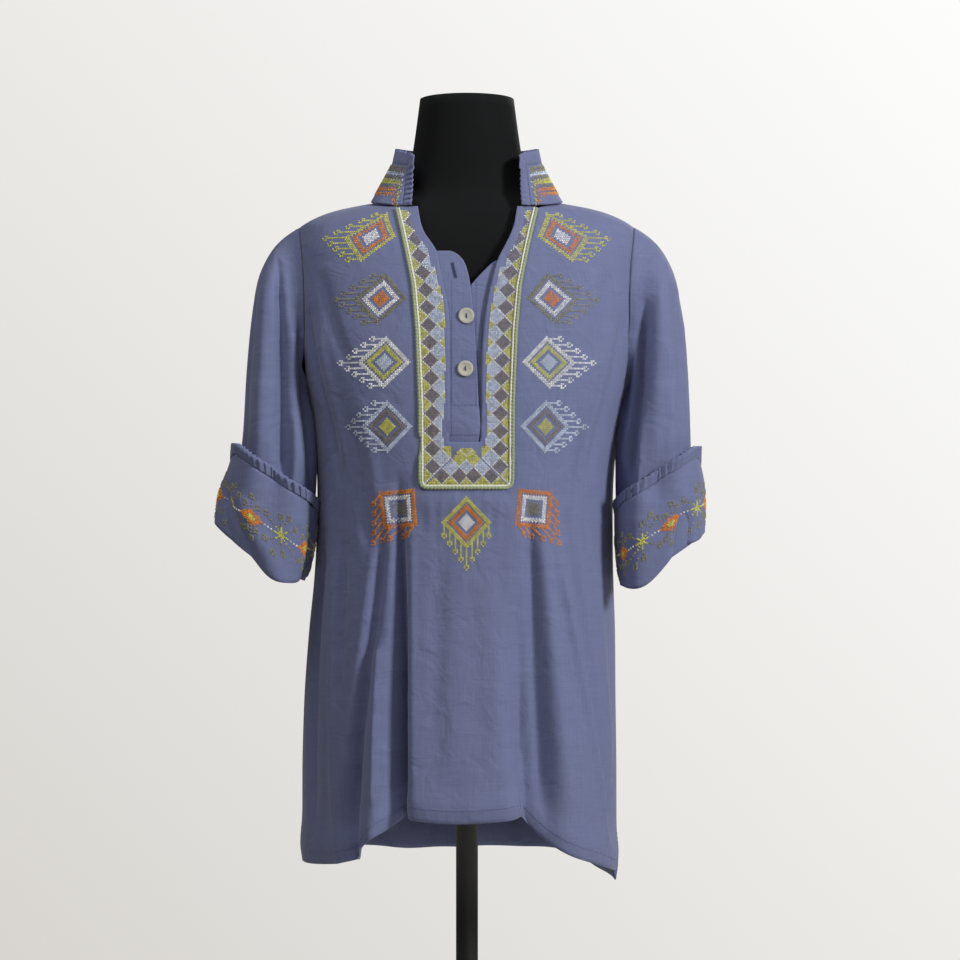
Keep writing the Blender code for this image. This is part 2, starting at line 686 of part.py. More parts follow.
def button(name, x, z):
    """A turned shell button with a rim and two holes, sewn flat on the overlap."""
    maker = bmesh.new()
    profile = ((0.0, 0.0), (0.0075, 0.0), (0.0085, 0.0009), (0.0085, 0.0019), (0.0077, 0.0025),
               (0.0066, 0.0021), (0.0050, 0.0017), (0.0, 0.0017))
    points = [maker.verts.new((r * BUTTON_RADIUS / 0.0085, 0.0, h)) for r, h in profile]
    edges = [maker.edges.new(pair) for pair in zip(points, points[1:])]
    bmesh.ops.spin(
        maker, geom=points + edges, cent=(0, 0, 0), axis=(0, 0, 1), angle=2 * math.pi,
        steps=16, use_merge=True,
    )
    bmesh.ops.remove_doubles(maker, verts=maker.verts, dist=1e-6)
    bmesh.ops.recalc_face_normals(maker, faces=maker.faces)
    made = add_object(name, maker, SHELL)
    drill_maker = bmesh.new()
    for side in (-1, 1):
        drilled = bmesh.ops.create_cone(
            drill_maker, cap_ends=True, segments=8, radius1=0.0009, radius2=0.0009, depth=0.01
        )
        bmesh.ops.translate(drill_maker, verts=drilled["verts"], vec=(0, side * 0.0016, 0))
    drill = add_object(name + "_drill", drill_maker, SHELL)
    drill.hide_render = True
    drill.display_type = "WIRE"
    holes = made.modifiers.new("thread_holes", "BOOLEAN")
    holes.operation = "DIFFERENCE"
    holes.object = drill
    reach = BUTTON_RADIUS / 2
    seat = front_point(x, z, 0.0001)
    ahead = front_point(x + reach, z) - front_point(x - reach, z)
    upward = front_point(x, z + reach) - front_point(x, z - reach)
    facing = ahead.cross(upward).normalized().to_track_quat("Z", "Y")
    for part in (made, drill):
        part.location = seat
        part.rotation_mode = "QUATERNION"
        part.rotation_quaternion = facing


def dress_form():
    """The limbless torso and neck, one smooth closed body."""
    around = 28
    maker = bmesh.new()
    heights = [NECK_POINT - row[0] for row in FIGURE]
    rings = []
    for z in heights:
        half_width, front, back, square = smooth_through(FIGURE, NECK_POINT - z)
        turns = [2 * math.pi * i / around for i in range(around)]
        rings.append([maker.verts.new((*oval_point(t, half_width, front, back, square), z)) for t in turns])
    for upper, lower in zip(rings, rings[1:]):
        for i in range(around):
            j = (i + 1) % around
            maker.faces.new((upper[i], lower[i], lower[j], upper[j]))
    maker.faces.new(rings[0])
    maker.faces.new(list(reversed(rings[-1])))
    bmesh.ops.recalc_face_normals(maker, faces=maker.faces)
    return add_object("form_torso", maker, JERSEY)


def turned(name, profile, sides, spec):
    """A solid of revolution about the stand's axis."""
    maker = bmesh.new()
    points = [maker.verts.new((radius, 0.0, height)) for radius, height in profile]
    edges = [maker.edges.new(pair) for pair in zip(points, points[1:])]
    bmesh.ops.spin(
        maker, geom=points + edges, cent=(0, 0, 0), axis=(0, 0, 1), angle=2 * math.pi,
        steps=sides, use_merge=True,
    )
    bmesh.ops.remove_doubles(maker, verts=maker.verts, dist=1e-6)
    bmesh.ops.recalc_face_normals(maker, faces=maker.faces)
    return add_object(name, maker, spec)


def stand():
    hub_top = BASE_HEIGHT + 0.030
    edge = 0.004
    turned(
        "stand_base",
        (
            (0.0, 0.0), (BASE_RADIUS - edge, 0.0), (BASE_RADIUS, edge),
            (BASE_RADIUS, BASE_HEIGHT - edge), (BASE_RADIUS - edge, BASE_HEIGHT),
            (0.034, BASE_HEIGHT), (0.026, BASE_HEIGHT + 0.006), (0.024, hub_top), (0.0, hub_top),
        ),
        30,
        STEEL,
    )
    post_bottom, post_top = hub_top + 0.0003, NECK_POINT - FIGURE[-1][0] - 0.0003
    flange = 0.035
    turned(
        "stand_post",
        (
            (0.0, post_bottom), (POST_RADIUS, post_bottom), (POST_RADIUS, post_top - 0.014),
            (flange, post_top - 0.006), (flange, post_top), (0.0, post_top),
        ),
        20,
        STEEL,
    )


def build():
    clear_scene()
    stand()
    dress_form()
    front_panel()
    back_panel()
    for side, end_sections in (("left", SLEEVE_END_LEFT), ("right", SLEEVE_END_RIGHT)):
        sections = SLEEVE_HEAD + end_sections
        cuff = cuff_surface(sections)
        parts = (
            ("sleeve_", sleeve_rows(sections), WALL),
            ("cuff_", strip_rows(cuff, CUFF_AROUND, True), WALL),
            ("cuff_ruffle_", ruffle_rows(cuff, CUFF_PLEATS, 0, CUFF_RUFFLE, CUFF_RUFFLE), RUFFLE_WALL),
        )
        for prefix, rows, thickness in parts:
            placed = rows if side == "left" else mirrored(rows)
            cloth_piece(prefix + side, placed, LINEN, thickness, around=True)
    cloth_piece("collar", strip_rows(collar_surface, 40, False), EMBROIDERED)
    collar_ruffle = ruffle_rows(
        collar_surface, COLLAR_PLEATS, END_PLEATS, COLLAR_RUFFLE, END_RUFFLE
    )
    cloth_piece("collar_ruffle", collar_ruffle, LINEN, RUFFLE_WALL)
    bib()
    placket()
    piping()
    for number, (x, z) in enumerate(BUTTONS, start=1):
        button(f"button_{number}", x, z)


build()
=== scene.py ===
import math

import bmesh
import bpy
import numpy
from mathutils import Matrix, Vector
from mathutils.bvhtree import BVHTree


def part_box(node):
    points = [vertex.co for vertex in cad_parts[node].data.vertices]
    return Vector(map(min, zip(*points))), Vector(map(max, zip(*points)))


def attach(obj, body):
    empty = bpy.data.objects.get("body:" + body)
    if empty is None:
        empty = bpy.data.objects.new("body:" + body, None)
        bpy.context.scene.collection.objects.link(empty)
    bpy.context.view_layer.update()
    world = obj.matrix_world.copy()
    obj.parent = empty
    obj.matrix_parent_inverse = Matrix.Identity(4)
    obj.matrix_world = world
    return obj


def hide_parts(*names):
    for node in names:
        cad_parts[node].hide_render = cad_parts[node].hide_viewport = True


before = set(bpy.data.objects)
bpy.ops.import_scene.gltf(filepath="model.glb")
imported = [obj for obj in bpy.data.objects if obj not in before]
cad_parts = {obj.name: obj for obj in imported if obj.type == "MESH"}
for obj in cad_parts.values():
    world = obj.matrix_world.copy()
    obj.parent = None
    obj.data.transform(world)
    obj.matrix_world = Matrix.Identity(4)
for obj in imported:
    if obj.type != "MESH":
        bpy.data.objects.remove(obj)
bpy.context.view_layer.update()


# The stand: a steel post and a round steel base, powder coated satin black and screwed together.
# The coating is an even, slightly pebbled black film with soft wide highlights.

def linear(colour):
    """An sRGB hex colour as the linear colour that a shader socket takes."""
    parts = [int(colour[i:i + 2], 16) / 255 for i in (1, 3, 5)]
    return [c / 12.92 if c <= 0.04045 else ((c + 0.055) / 1.055) ** 2.4 for c in parts] + [1.0]


def feed(node, inputs):
    """Sets or links inputs of a node, given by name or number."""
    for name, value in inputs.items():
        if isinstance(value, bpy.types.NodeSocket):
            node.id_data.links.new(value, node.inputs[name])
        else:
            node.inputs[name].default_value = value


def add_node(owner, kind, inputs, **settings):
    """A new node of a material or world: inputs are its sockets, settings its own properties."""
    node = owner.node_tree.nodes.new(kind)
    for name, value in settings.items():
        setattr(node, name, value)
    feed(node, inputs)
    return node


def new_material(name, inputs):
    """A material and its shader, with these inputs set."""
    material = bpy.data.materials.new(name)
    material.use_nodes = True
    shader = material.node_tree.nodes["Principled BSDF"]
    feed(shader, inputs)
    return material, shader


def object_place(material):
    """The place on the object, in metres."""
    return add_node(material, "ShaderNodeTexCoord", {}).outputs["Object"]


def noise(material, vector, scale, **more):
    """The grey of a cloud pattern."""
    inputs = {"Vector": vector, "Scale": scale, **more}
    return add_node(material, "ShaderNodeTexNoise", inputs).outputs["Fac"]


def ribs(material, vector, pitch, axis, **more):
    """The grey of bands at this pitch across an axis. A wave texture turns 20 radians a metre."""
    inputs = {"Vector": vector, "Scale": 0.314 / pitch, **more}
    return add_node(material, "ShaderNodeTexWave", inputs, bands_direction=axis).outputs["Fac"]


def combined(owner, operation, first, second):
    """Two greys, added or multiplied."""
    inputs = {0: first, 1: second}
    return add_node(owner, "ShaderNodeMath", inputs, operation=operation).outputs["Value"]


def spread(owner, value, source=(0.0, 1.0), target=(0.0, 1.0)):
    """A grey moved from one range to another."""
    inputs = {
        "Value": value, "From Min": source[0], "From Max": source[1], "To Min": target[0],
        "To Max": target[1],
    }
    return add_node(owner, "ShaderNodeMapRange", inputs).outputs["Result"]


def mixed(owner, share, first, second):
    """A colour between two, by a grey."""
    inputs = {"Factor": share, "A": first, "B": second}
    return add_node(owner, "ShaderNodeMix", inputs, data_type="RGBA").outputs[2]


def shaded(material, colour, grey, dark, light):
    """A colour that a grey darkens and lightens."""
    inputs = {"Color": colour, "Value": spread(material, grey, target=(dark, light))}
    return add_node(material, "ShaderNodeHueSaturation", inputs).outputs["Color"]


def raised(material, grey, strength, distance, **more):
    """The slope of a surface that a grey raises."""
    inputs = {"Height": grey, "Strength": strength, "Distance": distance, **more}
    return add_node(material, "ShaderNodeBump", inputs).outputs["Normal"]


def mesh_of(name, shape):
    """The mesh of a finished bmesh."""
    mesh = bpy.data.meshes.new(name)
    shape.to_mesh(mesh)
    shape.free()
    return mesh


def new_object(name, data):
    """A mesh, lamp or camera as an object in the scene."""
    made = bpy.data.objects.new(name, data)
    bpy.context.scene.collection.objects.link(made)
    return made


def bake(piece):
    """Gives the piece the smooth-shaded mesh that its modifiers make, and takes them off."""
    rough = piece.data
    piece.data = bpy.data.meshes.new_from_object(
        piece.evaluated_get(bpy.context.evaluated_depsgraph_get())
    )
    piece.modifiers.clear()
    bpy.data.meshes.remove(rough)
    piece.data.name = piece.name
    piece.data.materials.clear()
    piece.data.polygons.foreach_set("use_smooth", [True] * len(piece.data.polygons))


def stand_in(piece, node, material):
    """Puts the piece, in its material, in the place of a CAD node."""
    piece.data.materials.append(material)
    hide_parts(node)
    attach(piece, "root")


def fine_copy(node, name, levels, rim=1.0, longest=None):
    """A smooth copy of a CAD node: merged, joined to quads, long cells split, and subdivided.

    Edges that turn by more than rim radians stay sharp, so that a wall keeps its thickness.
    """
    work = bmesh.new()
    work.from_mesh(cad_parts[node].data)
    bmesh.ops.remove_doubles(work, verts=work.verts, dist=0.00001)
    bmesh.ops.join_triangles(
        work, faces=work.faces, angle_face_threshold=1.0, angle_shape_threshold=2.6
    )
    if longest:
        tall = [
            edge for edge in work.edges
            if edge.calc_length() > longest
            and abs(edge.verts[0].co.z - edge.verts[1].co.z) > 0.7 * edge.calc_length()
        ]
        bmesh.ops.subdivide_edges(work, edges=tall, cuts=1, smooth=0.6, use_grid_fill=True)
    sharp = work.edges.layers.float.new("crease_edge")
    for edge in work.edges:
        if edge.calc_face_angle(0.0) > rim:
            edge[sharp] = 1.0
    piece = new_object(name, mesh_of(name, work))
    smooth = piece.modifiers.new("smooth", "SUBSURF")
    smooth.levels = levels
    smooth.render_levels = levels
    smooth.boundary_smooth = "PRESERVE_CORNERS"
    bake(piece)
    return piece


STEEL_BLACK = "#0D0D0D"
COATING_GRAIN = 0.0012  # m, the pebbling of the powder coat, drawn coarse so that it shows

powder_coated_steel, shader = new_material(
    "powder_coated_steel", {"Base Color": linear(STEEL_BLACK), "Roughness": 0.42}
)
pebbles = noise(powder_coated_steel, object_place(powder_coated_steel), 1 / COATING_GRAIN, Detail=2.0)
feed(shader, {"Normal": raised(powder_coated_steel, pebbles, 0.25, 0.0001)})

for node, name in (("stand_post", "steel_post"), ("stand_base", "steel_base")):
    stand_in(fine_copy(node, name, 2, rim=0.6), node, powder_coated_steel)


# The dress form: a moulded torso with a neck and no limbs, padded and covered in black cotton
# jersey. The knit is matt, with a faint sheen where it curves away.

JERSEY_BLACK = "#090A0B"
JERSEY_LIT = "#111214"
KNIT_PITCH = 0.0016  # m, between two knit ribs, drawn twice as coarse as the real jersey

black_jersey, shader = new_material(
    "black_cotton_jersey",
    {"Roughness": 0.9, "Specular IOR Level": 0.2, "Sheen Weight": 0.03, "Sheen Roughness": 0.5},
)
place = object_place(black_jersey)
lint = noise(black_jersey, place, 40.0, Detail=6.0, Roughness=0.7)
knit = ribs(black_jersey, place, KNIT_PITCH, "X", Distortion=1.5)
feed(shader, {
    "Base Color": mixed(black_jersey, lint, linear(JERSEY_BLACK), linear(JERSEY_LIT)),
    "Normal": raised(black_jersey, knit, 0.2, 0.0003),
})
stand_in(fine_copy("form_torso", "dress_form", 2), "form_torso", black_jersey)


# The front and back of the tunic: two panels of slate-blue linen, cut wide, joined at the
# shoulders and sides, and turned up at the hem. Plain-weave linen is matt and shows slubs.

LINEN_BLUE = "#6D7398"
LINEN_DEEP = "#596084"
LINEN_PALE = "#7F86A8"
THREAD_PITCH = 0.0018  # m, the weave, drawn three times as coarse as the linen so that it shows
SLUB_LENGTH = 0.045
SLUB_WIDTH = 0.0014
CRUMPLE = 0.030  # m, between two soft dents that wear has left in the cloth

linen, shader = new_material(
    "slate_blue_linen",
    {"Roughness": 0.82, "Specular IOR Level": 0.25, "Sheen Weight": 0.15, "Sheen Roughness": 0.45},
)
on_cloth = add_node(linen, "ShaderNodeUVMap", {}, uv_map="cloth").outputs["UV"]
thick_threads = []
for stretch in ((1 / SLUB_LENGTH, 1 / SLUB_WIDTH, 1.0), (1 / SLUB_WIDTH, 1 / SLUB_LENGTH, 1.0)):
    drawn = add_node(linen, "ShaderNodeMapping", {"Vector": on_cloth, "Scale": stretch})
    thick_threads.append(noise(linen, drawn.outputs["Vector"], 1.0, Detail=3.0, Roughness=0.6))
slubs = combined(linen, "ADD", *thick_threads)
threads = mixed(linen, spread(linen, slubs, (0.45, 1.55)), linear(LINEN_DEEP), linear(LINEN_PALE))
washed = noise(linen, on_cloth, 14.0, Detail=5.0, Roughness=0.6)
evenness = spread(linen, washed, (0.3, 0.7), (0.35, 0.75))
crossing = [ribs(linen, on_cloth, THREAD_PITCH, axis, Distortion=0.6, Detail=1.0) for axis in "XY"]
weave = combined(linen, "ADD", combined(linen, "MULTIPLY", *crossing), slubs)
crumples = noise(linen, on_cloth, 1 / CRUMPLE, Detail=3.0, Distortion=0.8)
feed(shader, {
    "Base Color": mixed(linen, evenness, threads, linear(LINEN_BLUE)),
    "Normal": raised(linen, crumples, 0.6, 0.0045, Normal=raised(linen, weave, 0.13, 0.0004)),
})


def points_of(piece):
    """The piece's points as an array of rows x, y, z."""
    points = numpy.empty(len(piece.data.vertices) * 3)
    piece.data.vertices.foreach_get("co", points)
    return points.reshape(-1, 3)


FADE = 1.8  # how soon a crease has its full depth, from its ends


def fold_offset(across, height, folds, around=None):
    """How far the cloth stands out at each point, from a table of creases in mm.

    Each crease runs between two places on the cloth and fades at both ends. around is the length
    round a tube, where the cloth meets itself.
    """
    offset = numpy.zeros(len(across))
    for fold in folds:
        across_0, height_0, across_1, height_1, width, depth = (size / 1000 for size in fold)
        run, rise = across_1 - across_0, height_1 - height_0
        length = math.hypot(run, rise)
        beside = across - across_0
        if around:
            beside = (beside + around / 2) % around - around / 2
        along = (beside * run + (height - height_0) * rise) / length ** 2
        aside = (beside * rise - (height - height_0) * run) / length
        fade = numpy.clip(numpy.sin(math.pi * numpy.clip(along, 0, 1)) * FADE, 0, 1)
        offset += depth * numpy.exp(-(aside / width) ** 2) * fade
    return offset


def map_cloth(piece, across, height, around=None):
    """Gives the piece a UV map in metres of cloth, so that the weave follows it."""
    corners = numpy.empty(len(piece.data.loops), dtype=int)
    piece.data.loops.foreach_get("vertex_index", corners)
    place = numpy.stack([across[corners], height[corners]], axis=1)
    if around:
        for face in piece.data.polygons:
            ends = place[face.loop_start:face.loop_start + face.loop_total, 0]
            if ends.max() - ends.min() > around / 2:
                ends[ends < 0] += around
    layer = piece.data.uv_layers.get("cloth") or piece.data.uv_layers.new(name="cloth")
    layer.data.foreach_set("uv", place.ravel())


def surface_of(*cloths):
    """What a ray meets on these pieces."""
    joined = bmesh.new()
    for cloth in cloths:
        joined.from_mesh(cloth.data)
    tree = BVHTree.FromBMesh(joined)
    joined.free()
    return tree


BODY_RADIUS = 0.160  # m, of the round that the panels' cloth is measured on
BODY_HALVES = (0.19, 0.14)  # m, half the width and depth of the oval that creases stand out from

# In mm: across and height where a crease starts and ends, its half-width, and its depth, which is
# positive for a ridge and negative for a trough.
FRONT_CREASES = (
    (-77.5, 1080, -69, 690, 5, -9),
    (-90, 1070, -85, 700, 8, 4.5),
    (-64, 1040, -59, 710, 6.5, 3),
    (-91, 1040, -133, 680, 6, -8.8),
    (-104, 1010, -146, 700, 6.5, 3.6),
    (-150, 1040, -140, 660, 7, -6.4),
    (-162, 1010, -154, 690, 7, 4),
    (-192, 1030, -189, 670, 8, -6.2),
    (-176, 1000, -172, 700, 8, 3.4),
    (-29.8, 1010, -33.5, 740, 11, -2.6),
    (8, 960, 14, 760, 15, -1.6),
    (39, 1000, 54.5, 740, 12, -2.4),
    (71.5, 1060, 92.5, 680, 7, -10),
    (88, 1030, 109, 700, 9, 4.6),
    (104, 1010, 174, 660, 6.2, 6.8),
    (118, 1010, 187, 680, 8, -5.6),
    (150, 1040, 199, 740, 8, 3.4),
    (-178, 1300, -127, 1185, 6, -3.8),
    (-190, 1260, -153, 1060, 7, -6.6),
    (-172, 1250, -137, 1070, 7, 3.2),
    (-135, 1140, -110, 990, 7, -4.4),
    (-118, 1160, -98, 1030, 7, 2.2),
    (172, 1300, 128, 1190, 6, -3.2),
    (184, 1260, 150, 1070, 7, -5),
    (166, 1240, 134, 1080, 7, 2.8),
    (134, 1140, 110, 1000, 7, -3.6),
)
BACK_CREASES = (
    (-50, 1260, -74, 690, 11, -5.8),
    (-22, 1200, -30, 680, 12, 4.2),
    (16, 1230, 22, 680, 10, -5),
    (60, 1270, 88, 700, 12, 5),
    (82, 1160, 108, 680, 8, -4.8),
    (112, 1120, 140, 660, 9.5, -5.2),
    (-104, 1150, -134, 660, 10.5, 4.8),
    (-126, 1100, -156, 680, 8, -5),
    (-160, 1040, -186, 690, 10, -4),
    (156, 1020, 176, 680, 9, 4),
    (-90, 1310, -130, 1170, 8, -3.2),
    (98, 1300, 134, 1140, 8, -3.4),
    (-140, 1260, -168, 1100, 7, -3.6),
    (146, 1250, 166, 1110, 7, 2.8),
)


def panel(node, name, facing, creases):
    """One panel of the tunic. facing is -1 for the front and 1 for the back."""
    cloth = fine_copy(node, name, 2, longest=0.020)
    points = points_of(cloth)
    across = BODY_RADIUS * numpy.arctan2(points[:, 0], facing * points[:, 1])
    height = points[:, 2]
    outward = points[:, :2] / numpy.square(BODY_HALVES)
    outward /= numpy.linalg.norm(outward, axis=1)[:, None]
    points[:, :2] += outward * fold_offset(across, height, creases)[:, None]
    cloth.data.vertices.foreach_set("co", points.ravel())
    map_cloth(cloth, across, height)
    stand_in(cloth, node, linen)
    return cloth


front_cloth = panel("front_panel", "front_cloth", -1, FRONT_CREASES)
back_cloth = panel("back_panel", "back_cloth", 1, BACK_CREASES)


# The sleeves: one piece of the same linen each, set into the armhole, seamed under the arm and
# left wide. They hang empty and crease where the arm would bend.

SLEEVE_CENTRE = (0.213, -0.020)
SLEEVE_RADIUS = 0.045
SLEEVE_ROUND = 2 * math.pi * SLEEVE_RADIUS

# In mm, as the panels' creases. Each table's last row isn't a crease: it brings the sleeve's inner
# side out to the body, where the solids keep a thin gap.
LEFT_SLEEVE_CREASES = (
    (-16, 1270, -24, 1050, 4.5, -10),
    (-28, 1240, -34, 1070, 6, 5),
    (0, 1300, -6, 1080, 6, 3.4),
    (18, 1290, 14, 1060, 5, -4.6),
    (46, 1260, 40, 1060, 7, -3.4),
    (90, 1280, 86, 1070, 8, 3),
    (118, 1260, 124, 1060, 8, -3.4),
    (-100, 1260, -106, 1070, 8, 2.8),
    (-50, 1185, -52, 960, 17, 14),
)
RIGHT_SLEEVE_CREASES = (
    (-8, 1320, -9, 1040, 4.6, -12),
    (-20, 1260, -21, 1060, 6, 7.4),
    (-36, 1230, -36, 1060, 5, -5),
    (8, 1300, 7, 1080, 7, 2.6),
    (28, 1290, 24, 1060, 6, -4.4),
    (86, 1290, 94, 1080, 8.5, -3.4),
    (122, 1250, 116, 1070, 8, 2.8),
    (-104, 1250, -112, 1060, 8, -3),
    (-50, 1185, -52, 960, 17, 12),
)
SEAM_REACH = 0.006  # m, how near a seam a piece is drawn to its neighbour


def draw_to(piece, tree, gap):
    """Closes the hair gap that the solids keep at a seam, where the piece is near it."""
    points = points_of(piece)
    for point in points:
        nearest, _, _, away = tree.find_nearest(Vector(point), SEAM_REACH)
        if nearest is not None and away > 1e-6:
            point += (numpy.array(nearest) - point) / away * min(away, gap) * (1 - away / SEAM_REACH)
    piece.data.vertices.foreach_set("co", points.ravel())


def sleeve_cloth(node, name, side, levels, creases, **options):
    """A tube of cloth round the arm: side is 1 on the wearer's left and -1 on the right."""
    cloth = fine_copy(node, name, levels, **options)
    points = points_of(cloth)
    out = points[:, 0] * side - SLEEVE_CENTRE[0]
    back = points[:, 1] - SLEEVE_CENTRE[1]
    across = SLEEVE_RADIUS * numpy.arctan2(out, -back)
    height = points[:, 2]
    stand = fold_offset(across, height, creases, SLEEVE_ROUND)
    far = numpy.hypot(out, back) + 1e-9
    points[:, 0] += side * out / far * stand
    points[:, 1] += back / far * stand
    cloth.data.vertices.foreach_set("co", points.ravel())
    map_cloth(cloth, across, height, SLEEVE_ROUND)
    stand_in(cloth, node, linen)
    return cloth


left_sleeve = sleeve_cloth("sleeve_left", "left_sleeve", 1, 3, LEFT_SLEEVE_CREASES, longest=0.03)
right_sleeve = sleeve_cloth("sleeve_right", "right_sleeve", -1, 3, RIGHT_SLEEVE_CREASES, longest=0.03)
shoulder_seams = surface_of(front_cloth, back_cloth)
for sleeve in (left_sleeve, right_sleeve):
    draw_to(sleeve, shoulder_seams, gap=0.0016)


# The cuffs: the turned-up end of each sleeve, faced with the same linen. Their lower edges sag, and
# a pleated ruffle, pressed to one side, is sewn round each free edge.

LEFT_CUFF_CREASES = (
    (13, 1050, 10, 940, 5, -7),
    (26, 1060, 22, 950, 6, 3.6),
    (-12, 1070, -20, 930, 7, 3),
    (70, 1080, 60, 960, 8, -4),
    (-90, 1080, -98, 940, 9, -4),
)
RIGHT_CUFF_CREASES = (
    (38, 1070, -4, 930, 5, -8.5),
    (22, 1060, -18, 930, 6, 4.4),
    (56, 1080, 22, 950, 7, 3.6),
    (-30, 1080, -34, 940, 6, -3.6),
    (98, 1080, 90, 960, 8, -4),
    (-94, 1080, -90, 940, 9, 3.6),
)
# the same swell under the arm as on the sleeves
UNDERARM = ((-50, 1190, -52, 920, 18, 7.6),)

# where a lower edge sags or lifts, in mm: the place round the cuff, the half-width, and the drop
LEFT_CUFF_SAGS = ((-10, 12, 11), (11, 6, -5), (90, 20, 5))
RIGHT_CUFF_SAGS = ((-1, 11, 9), (-28, 8, -5), (-90, 20, 5))
SAG_REACH = 0.024  # m, how far up the cuff a sag pulls
SAG_SLOT = 0.003  # m, the width of cloth whose lowest point counts as its edge


def sag(piece, side, sags):
    """Lets the cuff's lower edge hang unevenly, most at the edge and less above it."""
    points = points_of(piece)
    out = points[:, 0] * side - SLEEVE_CENTRE[0]
    across = SLEEVE_RADIUS * numpy.arctan2(out, SLEEVE_CENTRE[1] - points[:, 1])
    slot = numpy.round(across / SAG_SLOT).astype(int)
    slot -= slot.min()
    foot = numpy.full(slot.max() + 1, numpy.inf)
    numpy.minimum.at(foot, slot, points[:, 2])
    above = points[:, 2] - foot[slot]
    for place, width, drop in numpy.array(sags) / 1000:
        pull = numpy.exp(-((across - place) / width) ** 2) * numpy.exp(-(above / SAG_REACH) ** 2)
        points[:, 2] -= drop * pull
    piece.data.vertices.foreach_set("co", points.ravel())


left_cuff = sleeve_cloth("cuff_left", "left_cuff", 1, 3, LEFT_CUFF_CREASES + UNDERARM)
right_cuff = sleeve_cloth("cuff_right", "right_cuff", -1, 3, RIGHT_CUFF_CREASES + UNDERARM)
sag(left_cuff, 1, LEFT_CUFF_SAGS)
sag(right_cuff, -1, RIGHT_CUFF_SAGS)

RUFFLE_RIM = 0.12  # radians, the turn at which an edge of a ruffle stays sharp
CUFF_PLEAT = math.radians(7.2)  # the turn of one pleat round the cuff
PLEAT_LEAN = 1.4  # how far a pleat's wave leans over, as a share of its height
PLEAT_GAIN = 0.35  # how much higher than in the solid it stands


def press_pleats(piece, side, lean):
    """Leans the waves of a cuff's ruffle over to one side, so that they lie as pressed pleats."""
    points = points_of(piece)
    x, y = points[:, 0] - side * SLEEVE_CENTRE[0], points[:, 1] - SLEEVE_CENTRE[1]
    angle = numpy.arctan2(x, -y)
    far = numpy.hypot(x, y)
    order = numpy.argsort(angle)
    window = numpy.searchsorted(angle[order], angle[order] + CUFF_PLEAT / 2) - numpy.arange(len(order))
    half = max(8, int(numpy.median(window)))
    wide = numpy.concatenate([far[order][-half:], far[order], far[order][:half]])
    level = numpy.convolve(wide, numpy.ones(2 * half + 1) / (2 * half + 1), "valid")
    relief = numpy.empty(len(far))
    relief[order] = far[order] - level
    turn = angle + lean * relief / far
    far = far + PLEAT_GAIN * relief
    points[:, 0] = side * SLEEVE_CENTRE[0] + far * numpy.sin(turn)
    points[:, 1] = SLEEVE_CENTRE[1] - far * numpy.cos(turn)
    piece.data.vertices.foreach_set("co", points.ravel())


left_ruffle = sleeve_cloth("cuff_ruffle_left", "left_cuff_ruffle", 1, 2, UNDERARM, rim=RUFFLE_RIM)
right_ruffle = sleeve_cloth("cuff_ruffle_right", "right_cuff_ruffle", -1, 2, UNDERARM, rim=RUFFLE_RIM)
press_pleats(left_ruffle, 1, PLEAT_LEAN)
press_pleats(right_ruffle, -1, -PLEAT_LEAN)
for ruffle, cuff in ((left_ruffle, left_cuff), (right_ruffle, right_cuff)):
    draw_to(ruffle, surface_of(cuff), gap=0.0026)


# The collar: a low stand of linen round the neck, open at the front, with a pleated ruffle in
# its upper edge and down its two front ends.

NECK_CENTRE = 0.002
NECK_RADIUS = 0.085


def neck_cloth(node, name, levels, rim=1.0):
    """A piece of cloth that stands round the neck, mapped by the way round and the height."""
    cloth = fine_copy(node, name, levels, rim=rim)
    points = points_of(cloth)
    turn = numpy.arctan2(points[:, 0], points[:, 1] - NECK_CENTRE)
    map_cloth(cloth, NECK_RADIUS * turn, points[:, 2], 2 * math.pi * NECK_RADIUS)
    stand_in(cloth, node, linen)
    return cloth


collar_stand = neck_cloth("collar", "collar_stand", 3)
collar_frill = neck_cloth("collar_ruffle", "collar_frill", 2, rim=RUFFLE_RIM)
draw_to(collar_frill, surface_of(collar_stand), gap=0.0022)


# The bib and the placket: a yoke of linen set into the front, covered in cross-stitch but for
# the neck opening, whose two strips lie over each other under the buttons.

def flat_cloth(node, name):
    """A piece that lies on the front, mapped by its width and height."""
    cloth = fine_copy(node, name, 2, longest=0.02)
    points = points_of(cloth)
    map_cloth(cloth, points[:, 0], points[:, 2])
    stand_in(cloth, node, linen)
    return cloth


bib_cloth = flat_cloth("bib", "bib_cloth")
overlap = flat_cloth("placket_overlap", "placket_over")
underlap = flat_cloth("placket_underlap", "placket_under")


# The topstitching: one line of blue sewing thread inside each finished edge, on the placket and
# round the hem. Each stitch is a short thread that dips into the cloth at both ends.

SEWING_BLUE = "#4F5680"
STITCH_LENGTH = 0.0026  # m
STITCH_STEP = 0.0036
THREAD_WIDTH = 0.0006

sewing_thread, _ = new_material(
    "blue_sewing_thread", {"Base Color": linear(SEWING_BLUE), "Roughness": 0.6}
)


